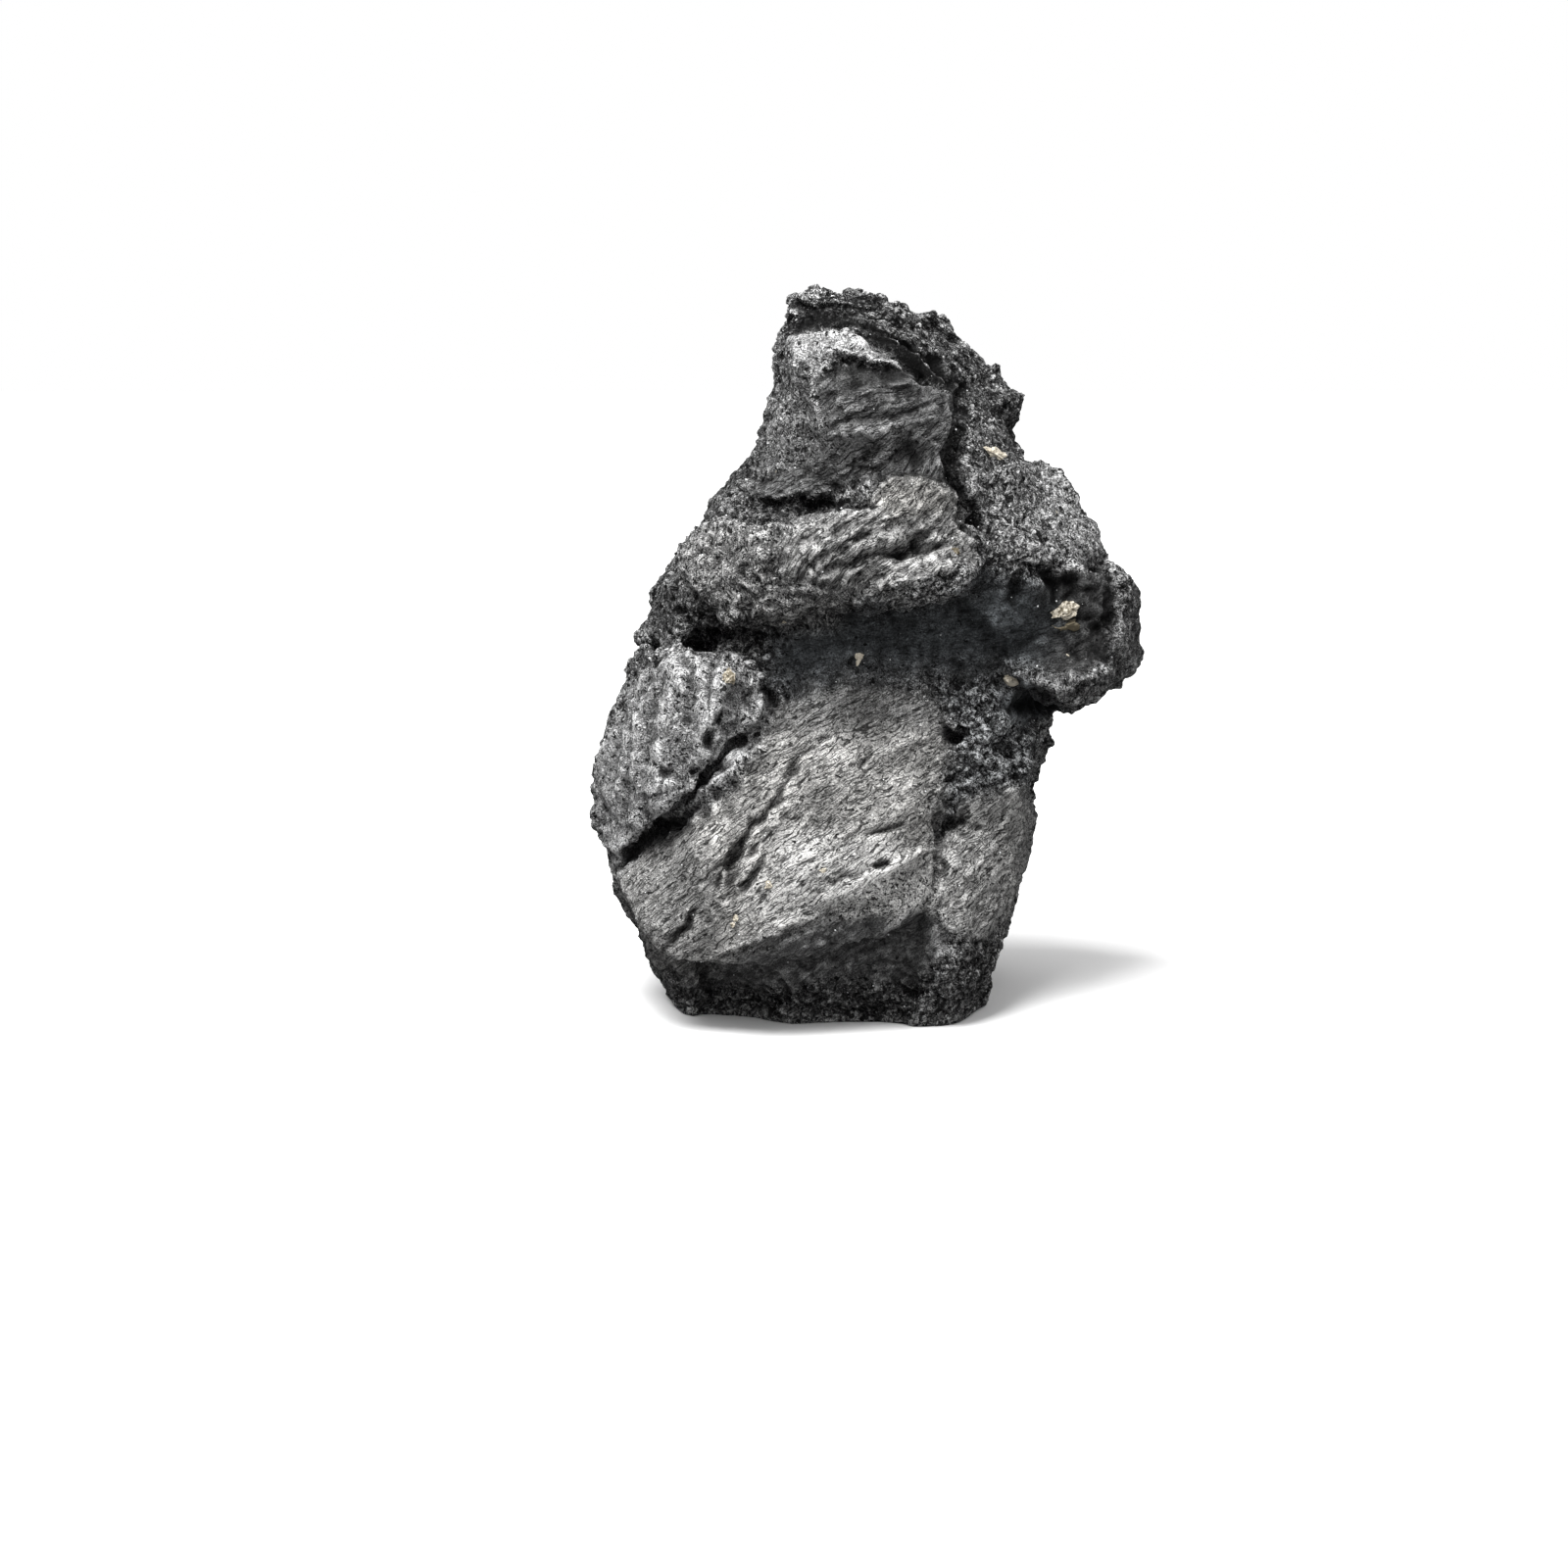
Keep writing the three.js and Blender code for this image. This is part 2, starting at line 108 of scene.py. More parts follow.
@dataclass(frozen=True)
class PhotoView:
    """The photograph's frame: where a pixel of its 1600 by 1600 lies on the stone."""

    size: int = 1600
    origin: Pixel = (885.0, 1015.0)
    pixels_per_metre: float = 3200.0
    elevation: float = math.radians(12.0)
    distance: float = 3.0
    sensor: float = 36.0

    @property
    def across(self) -> np.ndarray:
        """Direction to the right in the picture."""
        return np.array([1.0, 0.0, 0.0])

    @property
    def up(self) -> np.ndarray:
        """Direction up in the picture."""
        return np.array([0.0, math.sin(self.elevation), math.cos(self.elevation)])

    @property
    def forward(self) -> np.ndarray:
        """Direction away from the viewer."""
        return np.array([0.0, math.cos(self.elevation), -math.sin(self.elevation)])

    @property
    def target(self) -> np.ndarray:
        """The point at the middle of the picture."""
        middle = self.size / 2
        right = (middle - self.origin[0]) / self.pixels_per_metre
        rise = (self.origin[1] - middle) / self.pixels_per_metre
        return right * self.across + rise * self.up

    @property
    def eye(self) -> np.ndarray:
        """The place of the camera."""
        return self.target - self.distance * self.forward

    @property
    def lens(self) -> float:
        """Focal length in millimetres."""
        return self.sensor * self.distance * self.pixels_per_metre / self.size

    def pixels(self, points: np.ndarray) -> np.ndarray:
        """Finds the pixels at which points are seen.

        Args:
            points: N by 3 places.

        Returns:
            N by 2 pixels of the photograph.
        """
        rays = points - self.eye
        scale = self.distance * self.pixels_per_metre / (rays @ self.forward)
        middle = self.size / 2
        return np.stack([middle + scale * (rays @ self.across), middle - scale * (rays @ self.up)], axis=1)

    def ray(self, pixel: Pixel) -> Vector:
        """Aims at a pixel.

        Args:
            pixel: the pixel.

        Returns:
            The direction from the camera through it.
        """
        middle = self.size / 2
        right = (pixel[0] - middle) / self.pixels_per_metre
        rise = (middle - pixel[1]) / self.pixels_per_metre
        return Vector(self.distance * self.forward + right * self.across + rise * self.up).normalized()


VIEW = PhotoView()
# the length of one pixel on the stone
PIXEL = 1.0 / VIEW.pixels_per_metre


def smoothstep(low: float, high: float, value: np.ndarray) -> np.ndarray:
    """Rises smoothly from 0 at low to 1 at high."""
    t = np.clip((value - low) / (high - low), 0.0, 1.0)
    return t * t * (3.0 - 2.0 * t)


class Noise:
    """Repeatable gradient noise over points, from about -1 to 1."""

    TABLE = 256
    GAIN = 1.6
    # how far apart two layers are sampled, so that they don't line up
    SHIFT = 17.3

    def __init__(self, seed: int) -> None:
        """Draws the table of gradients.

        Args:
            seed: what the draw starts from.
        """
        draw = np.random.default_rng(seed)
        self.order = np.tile(draw.permutation(self.TABLE), 3)
        gradients = draw.normal(size=(self.TABLE, 3))
        self.gradients = gradients / np.linalg.norm(gradients, axis=1)[:, None]

    def __call__(self, points: np.ndarray, length: float) -> np.ndarray:
        """Samples the noise.

        Args:
            points: N by 3 places.
            length: distance between one bump and the next.

        Returns:
            N values.
        """
        scaled = points / length
        cell = np.floor(scaled).astype(int)
        inside = scaled - cell
        eased = inside ** 3 * (inside * (inside * 6.0 - 15.0) + 10.0)
        total = np.zeros(len(points))
        for corner in np.ndindex(2, 2, 2):
            at = (cell + corner) & (self.TABLE - 1)
            pick = self.order[self.order[self.order[at[:, 0]] + at[:, 1]] + at[:, 2]]
            share = np.prod(np.where(corner, eased, 1.0 - eased), axis=1)
            total += share * np.einsum("ij,ij->i", self.gradients[pick], inside - corner)
        return total * self.GAIN

    def layered(self, points: np.ndarray, length: float, layers: int) -> np.ndarray:
        """Adds finer and finer layers of the noise, each half as long and half as strong."""
        return sum(self(points + self.SHIFT * k * length, length / 2 ** k) / 2 ** k for k in range(layers))


@dataclass(frozen=True)
class Flow:
    """Which way the streaks of an area run: pixels with their slope in degrees, rising to the right."""

    readings: tuple[tuple[float, float, float], ...]
    # how much the flow resists bending
    stiffness: float = 0.35
    # pixels in one unit of the cubic
    unit: float = 100.0
    # how far past the readings the cubic is trusted
    trust: float = 1.25

    @staticmethod
    def terms(x: np.ndarray, y: np.ndarray) -> tuple[np.ndarray, np.ndarray, np.ndarray]:
        """Works out the terms of a cubic in x and y, without its constant.

        Args:
            x: N places to the right.
            y: N places up.

        Returns:
            N by 9 terms, their slopes along x and their slopes along y.
        """
        zero, one = np.zeros_like(x), np.ones_like(x)
        value = [x, y, x * x, x * y, y * y, x ** 3, x * x * y, x * y * y, y ** 3]
        along_x = [one, zero, 2 * x, y, zero, 3 * x * x, 2 * x * y, y * y, zero]
        along_y = [zero, one, zero, x, 2 * y, zero, x * x, 2 * x * y, 3 * y * y]
        return np.stack(value, 1), np.stack(along_x, 1), np.stack(along_y, 1)

    def coordinates(self, pixels: np.ndarray) -> np.ndarray:
        """Finds coordinates that follow the readings.

        Args:
            pixels: N by 2 pixels.

        Returns:
            N by 2 distances in metres, across the streaks and along them.
        """
        reading = np.array(self.readings)
        middle = reading[:, :2].mean(axis=0)
        x, y = ((reading[:, :2] - middle) / self.unit * [1.0, -1.0]).T
        slope = np.radians(reading[:, 2])
        _, along_x, along_y = self.terms(x, y)
        bending = np.diag([0.0] * 2 + [self.stiffness] * 3 + [2 * self.stiffness] * 4)
        rows = np.vstack([along_x, along_y, bending])
        reach = np.abs(np.stack([x, y], 1)).max(axis=0) * self.trust
        at = np.clip((pixels - middle) / self.unit * [1.0, -1.0], -reach, reach)
        value = self.terms(at[:, 0], at[:, 1])[0]
        columns = []
        for right, up in ((-np.sin(slope), np.cos(slope)), (np.cos(slope), np.sin(slope))):
            wanted = np.concatenate([right, up, np.zeros(len(bending))])
            columns.append(value @ np.linalg.lstsq(rows, wanted, rcond=None)[0])
        return np.stack(columns, axis=1) * self.unit * PIXEL


FLOWS = {
    "slab": Flow((
        (819, 723, 30), (880, 723, 35), (912, 736, 22), (882, 773, 52), (912, 764, 38), (893, 809, 33),
        (856, 792, 32), (819, 811, 42), (931, 801, 37), (904, 840, 32), (884, 852, 15), (819, 840, 36),
        (856, 863, 18), (901, 882, 15), (819, 891, 32), (813, 913, 34), (795, 742, 24), (812, 772, 34),
        (759, 811, 56), (748, 838, 57), (780, 832, 44), (774, 845, 45), (739, 885, 60), (769, 892, 54),
        (684, 864, 45), (652, 885, 46), (833, 853, 24), (801, 872, 30), (704, 931, 42), (767, 972, 28),
        (805, 944, 33), (742, 982, 24), (691, 972, 18), (679, 855, 42), (1010, 840, 40), (1000, 880, 50),
    )),
    "crown": Flow((
        (800, 300, 5), (830, 312, -4), (860, 300, 0), (880, 320, -20), (900, 310, -28), (930, 335, -38),
        (960, 350, -40), (980, 370, -50), (1000, 400, -60), (940, 305, -25), (960, 325, -30), (815, 325, 8),
        (850, 285, 0), (1030, 440, -66),
    )),
    "crag": Flow((
        (850, 410, 12), (890, 408, 17), (920, 400, 18), (948, 396, 2), (910, 420, 22), (890, 450, 18),
        (910, 464, 27), (934, 440, 32), (946, 450, 48), (957, 456, 72), (860, 436, 12), (820, 480, 18),
        (790, 490, 22), (812, 390, 82), (808, 410, 80), (824, 430, 55), (850, 470, 14), (783, 494, 24),
    )),
    "brow": Flow((
        (806, 539, 40), (863, 534, 37), (874, 548, 30), (908, 555, 40), (942, 525, 37), (949, 494, 55),
        (919, 505, 38), (897, 503, 55), (863, 580, 32), (897, 584, 42), (931, 571, 26), (829, 548, 58),
        (811, 559, 72), (897, 607, 12), (953, 607, 18), (829, 580, 70), (970, 560, 20), (980, 590, 35),
    )),
    "level": Flow((
        (810, 660, 4), (860, 640, 6), (920, 640, 8), (980, 630, 10), (1040, 640, 14), (900, 680, 16),
        (1080, 620, 20), (1100, 670, 12), (1140, 640, 40), (1150, 600, 60),
    )),
}


@dataclass(frozen=True)
class Region:
    """A part of the front, outlined in pixels of the photograph."""

    outline: tuple[Pixel, ...]
    treatment: Treatment
    # paler above 0 and darker below; several regions use it for painted shade and painted light
    tone: float = 0.0
    lumpy: float = 0.25
    warm: float = 0.0
    cool: float = 0.0
    flow: str = "slab"
    # half the width of the soft edge, in pixels
    feather: float = 12.0

    def mask(self, pixels: np.ndarray) -> np.ndarray:
        """Finds what lies in the outline.

        Args:
            pixels: N by 2 pixels.

        Returns:
            How far inside each pixel is, from 0 outside to 1 well inside.
        """
        corners = np.array(self.outline)
        nearest = np.full(len(pixels), np.inf)
        inside = np.zeros(len(pixels), bool)
        for a, b in zip(corners, np.roll(corners, -1, axis=0)):
            nearest = np.minimum(nearest, distance_to_stretch(pixels, a, b)[0])
            crosses = (a[1] > pixels[:, 1]) != (b[1] > pixels[:, 1])
            rise = b[1] - a[1] if b[1] != a[1] else 1.0
            meets = (b[0] - a[0]) * (pixels[:, 1] - a[1]) / rise + a[0]
            inside ^= crosses & (pixels[:, 0] < meets)
        return smoothstep(-self.feather, self.feather, np.where(inside, nearest, -nearest))


@dataclass(frozen=True)
class Feature:
    """A crack, groove, pit, ledge or ridge along a line of pixels, with its size in millimetres."""

    line: tuple[Pixel, ...]
    width: float
    height: float
    cut: Cut = Cut.GROOVE
    # how far the line strays, in millimetres
    wander: float = 1.5
    # whether it goes on round the edge of the stone
    limb: bool = False
    # the share of its size that is left at its ends, and how soon it is lost
    end_share: float = 0.35
    end_taper: float = 0.6
    # how far it reaches in widths, and how sharp it is
    reach: float = 1.7
    sharpness: float = 1.5

    def profile(self, pixels: np.ndarray) -> np.ndarray:
        """Works out what the feature does to the surface.

        Args:
            pixels: N by 2 pixels.

        Returns:
            How far each pixel's place is raised, in metres.
        """
        line = np.array(self.line, float)
        lengths = np.linalg.norm(np.diff(line, axis=0), axis=1)
        starts = np.concatenate([[0.0], np.cumsum(lengths)])
        nearest = np.full(len(pixels), np.inf)
        where = np.zeros(len(pixels))
        for k, (a, b) in enumerate(zip(line, line[1:])):
            away, share = distance_to_stretch(pixels, a, b)
            closer = away < nearest
            nearest = np.where(closer, away, nearest)
            where = np.where(closer, (starts[k] + share * lengths[k]) / starts[-1], where)
        bulge = np.sin(np.pi * np.clip(where, 0.02, 0.98)) ** self.end_taper
        taper = self.end_share + (1.0 - self.end_share) * bulge
        width = self.width * MM / PIXEL * taper
        bump = np.clip(1.0 - nearest / (self.reach * width), 0.0, 1.0) ** self.sharpness
        return self.cut.value * self.height * MM * taper * bump


def carved(points: np.ndarray, normals: np.ndarray, noise: Noise) -> np.ndarray:
    """Adds up what the named features do to the surface.

    Args:
        points: N by 3 places.
        normals: N by 3 broad normals.
        noise: the stone's noise.

    Returns:
        How far each place is raised, in metres; cuts are negative.
    """
    toward = -(normals @ VIEW.forward)
    facing = smoothstep(0.02, 0.3, toward)
    round_the_limb = smoothstep(-0.75, -0.35, toward)
    pixels = VIEW.pixels(points)
    bend = 5 * MM
    wander = np.stack([noise(points + 1.1, bend), noise(points + 2.2, bend)], axis=1)
    total = np.zeros(len(points))
    for feature in (feature for group in FEATURES.values() for feature in group):
        seen = pixels + wander * feature.wander * MM / PIXEL
        total += (round_the_limb if feature.limb else facing) * feature.profile(seen)
    return total


def distance_to_stretch(pixels: np.ndarray, a: np.ndarray, b: np.ndarray) -> tuple[np.ndarray, np.ndarray]:
    """Measures pixels against one straight stretch.

    Args:
        pixels: N by 2 pixels.
        a: start of the stretch.
        b: end of the stretch.

    Returns:
        The distance of each pixel, and how far along the stretch its nearest point lies, from 0 to 1.
    """
    along = b - a
    share = np.clip((pixels - a) @ along / max(along @ along, TINY), 0.0, 1.0)
    return np.linalg.norm(pixels - a - share[:, None] * along, axis=1), share


REGIONS = {
    # painted shadow: the deep gap under the overhanging crown, darkened in the tone
    "crown_gap": Region(
        ((868, 322), (900, 337), (926, 350), (950, 366), (988, 392), (976, 402), (944, 380),
         (922, 365), (896, 348), (868, 334)),
        Treatment.CINDERY, tone=-1.7, lumpy=0.5, flow="crown", feather=4.0),
    # painted shadow: the strip under the crown's left edge, darkened in the tone
    "crown_foot": Region(
        ((800, 330), (830, 320), (868, 322), (868, 331), (830, 333), (803, 343)),
        Treatment.ROPY, tone=-0.9, lumpy=0.5, flow="crown", feather=4.0),
    # painted light: the crown's upper edge made paler where its top catches the light
    "crown_rim": Region(
        ((786, 302), (798, 276), (880, 276), (964, 300), (1016, 352), (1000, 364), (950, 328),
         (900, 309), (860, 304), (800, 308)),
        Treatment.ROPY, tone=0.6, lumpy=0.75, flow="crown", feather=8.0),
    "crown": Region(
        ((776, 290), (800, 272), (880, 272), (960, 300), (1010, 350), (1000, 376), (978, 394),
         (936, 367), (898, 339), (866, 325), (827, 329), (803, 343), (784, 330)),
        Treatment.ROPY, tone=0.0, lumpy=0.75, flow="crown", feather=6.0),
    # painted light: the strip where the crown's shadow falls on the crag, made paler
    "crag_edge": Region(
        ((872, 338), (896, 350), (932, 372), (920, 375), (884, 368)),
        Treatment.DUSTED, tone=0.9, lumpy=0.1, feather=4.0),
    "crag_top": Region(
        ((803, 345), (827, 332), (865, 330), (896, 346), (934, 374), (918, 371), (890, 370),
         (874, 362), (849, 362), (834, 392), (820, 374), (805, 352)),
        Treatment.DUSTED, tone=0.33, lumpy=0.15, feather=5.0),
    "crag_left": Region(
        ((806, 366), (822, 386), (838, 392), (846, 440), (834, 474), (770, 490), (780, 430),
         (796, 390)),
        Treatment.POCKED, tone=-0.1, lumpy=0.3, flow="crag", feather=7.0),
    # painted shade: the hollow under the crag's front edge, darkened
    "crag_hollow": Region(
        ((852, 376), (878, 377), (918, 378), (938, 386), (924, 396), (890, 398), (852, 398)),
        Treatment.QUIET, tone=-1.75, flow="crag", feather=6.0),
    "crag": Region(
        ((838, 384), (890, 396), (944, 388), (976, 402), (970, 440), (962, 486), (900, 490),
         (830, 505), (760, 508), (800, 480), (836, 470)),
        Treatment.STREAKED, tone=-0.85, lumpy=0.35, flow="crag", feather=7.0),
    "brow_upper": Region(
        ((888, 512), (900, 496), (925, 486), (953, 486), (974, 508), (960, 524), (920, 528)),
        Treatment.STREAKED, tone=0.2, warm=0.3, lumpy=0.4, flow="brow", feather=8.0),
    # painted light: the brow's lower lip made paler, though its shape turns it into shade
    "brow_lip": Region(
        ((905, 602), (940, 590), (984, 574), (996, 590), (966, 612), (925, 622), (890, 618)),
        Treatment.ROPY, tone=0.75, lumpy=0.7, flow="brow", feather=6.0),
    "brow": Region(
        ((946, 486), (977, 510), (983, 534), (1001, 563), (988, 587), (969, 607), (927, 619),
         (873, 606), (830, 600), (800, 590), (790, 560), (812, 530), (887, 516), (900, 492)),
        Treatment.STREAKED, tone=0.1, warm=0.12, lumpy=0.5, flow="brow"),
    "brow_left": Region(
        ((690, 560), (712, 534), (790, 534), (790, 590), (845, 606), (880, 612), (850, 640),
         (800, 645), (753, 630), (700, 605)),
        Treatment.POCKED, tone=0.3, warm=0.1, lumpy=0.6),
    # painted shade: the recess under the overhanging brow, darkened
    "waist": Region(
        ((790, 652), (830, 640), (880, 622), (960, 618), (1005, 590), (1060, 596), (1086, 640),
         (1060, 676), (960, 686), (880, 684), (810, 700), (790, 690)),
        Treatment.QUIET, tone=-1.15, cool=0.5, lumpy=0.35, flow="level", feather=26.0),
    # painted shade: the knob's hollow face under its overhang, darkened
    "knob_face": Region(
        ((1050, 600), (1080, 586), (1122, 582), (1134, 612), (1126, 676), (1090, 690), (1050, 676)),
        Treatment.QUIET, tone=-1.75, lumpy=0.6, flow="level", feather=12.0),
    "knob": Region(
        ((1040, 690), (1090, 690), (1128, 676), (1136, 600), (1168, 596), (1180, 640), (1168, 700),
         (1110, 724), (1060, 712)),
        Treatment.POCKED, tone=-0.1, lumpy=0.5, feather=8.0),
    "flank_top": Region(
        ((978, 396), (1000, 372), (1044, 420), (1050, 462), (1012, 480), (976, 470)),
        Treatment.CINDERY, tone=-0.1, lumpy=0.45, feather=12.0),
    "flank_edge": Region(
        ((1092, 486), (1134, 556), (1140, 580), (1090, 580), (1060, 520), (1060, 480)),
        Treatment.CINDERY, tone=1.1, lumpy=0.35, feather=14.0),
    "flank": Region(
        ((978, 396), (1000, 372), (1044, 420), (1050, 462), (1092, 486), (1134, 556), (1140, 580),
         (1080, 586), (1050, 596), (1008, 582), (986, 530), (976, 470)),
        Treatment.CINDERY, tone=0.6, lumpy=0.45, feather=10.0),
    # painted shade: the pocket under the knob, darkened
    "cave": Region(
        ((1020, 704), (1050, 700), (1090, 712), (1070, 735), (1030, 745)),
        Treatment.QUIET, tone=-0.8, cool=0.4, feather=10.0),
    "left_shade": Region(
        ((668, 570), (690, 588), (722, 610), (765, 626), (802, 640), (792, 652), (740, 648),
         (700, 642), (652, 644)),
        Treatment.CINDERY, tone=-0.6, lumpy=0.6, feather=6.0),
    "left_hollow": Region(
        ((660, 584), (698, 580), (722, 612), (762, 640), (802, 655), (795, 700), (756, 690),
         (738, 664), (672, 662), (650, 642)),
        Treatment.CINDERY, tone=0.7, lumpy=0.7, feather=10.0),
    # painted shadow: the groove between the column and the slab, darkened
    "groove": Region(
        ((626, 896), (653, 857), (690, 838), (716, 824), (714, 830), (690, 845), (655, 868)),
        Treatment.QUIET, tone=-0.6, feather=6.0),
    "column": Region(
        ((672, 664), (748, 664), (786, 706), (786, 740), (752, 786), (720, 806), (640, 850),
         (606, 870), (600, 780), (640, 700)),
        Treatment.RIBBED, tone=0.3, lumpy=0.45, feather=10.0),
    # painted light: the column's foot made paler against the shade of the gap beside it
    "column_foot": Region(
        ((752, 780), (740, 806), (690, 836), (640, 880), (606, 900), (604, 860), (650, 836),
         (700, 800)),
        Treatment.POCKED, tone=0.7, feather=10.0),
    # painted light: the slab's lower corner, which its shape turns away from the light, made paler
    "slab_corner": Region(
        ((846, 924), (900, 898), (960, 878), (962, 926), (925, 936), (860, 938)),
        Treatment.POCKED, tone=1.3, warm=0.15, lumpy=0.1, feather=10.0),
    # painted shade: the slab made dimmer toward its top
    "slab_top": Region(
        ((795, 736), (830, 704), (880, 698), (940, 712), (966, 742), (900, 738), (840, 750)),
        Treatment.STREAKED, tone=-0.35, warm=0.1, lumpy=0.1, flow="slab", feather=22.0),
    "slab_left": Region(
        ((630, 890), (690, 850), (730, 880), (720, 990), (672, 985)),
        Treatment.STREAKED, tone=0.0, warm=0.15, lumpy=0.2, flow="slab", feather=22.0),
    # painted light: the slab's low part made paler
    "slab_low": Region(
        ((800, 850), (900, 850), (958, 880), (958, 920), (880, 925), (790, 950), (760, 930)),
        Treatment.STREAKED, tone=0.9, warm=0.15, lumpy=0.1, flow="slab", feather=20.0),
    "slab": Region(
        ((795, 728), (830, 704), (880, 698), (940, 712), (972, 745), (964, 800), (955, 860),
         (958, 915), (930, 928), (880, 925), (840, 930), (720, 990), (672, 985), (630, 890),
         (700, 838), (745, 806), (770, 770)),
        Treatment.STREAKED, tone=0.3, warm=0.22, lumpy=0.1, flow="slab", feather=16.0),
    "flake": Region(
        ((985, 815), (1040, 800), (1056, 830), (1052, 900), (1010, 960), (960, 950), (958, 870)),
        Treatment.STREAKED, tone=0.45, warm=0.15, flow="slab", feather=12.0),
    "band": Region(
        ((950, 700), (1030, 690), (1050, 720), (1060, 780), (1040, 806), (990, 820), (962, 850),
         (956, 800), (976, 745)),
        Treatment.CINDERY, tone=0.5, lumpy=1.0, cool=0.15, feather=10.0),
    # painted shade: the face under the slab's lower lip, darkened
    "lip_underside": Region(
        ((700, 992), (760, 972), (840, 936), (950, 932), (965, 975), (930, 1000), (700, 1010)),
        Treatment.QUIET, tone=-0.45, lumpy=0.6, feather=10.0),
}

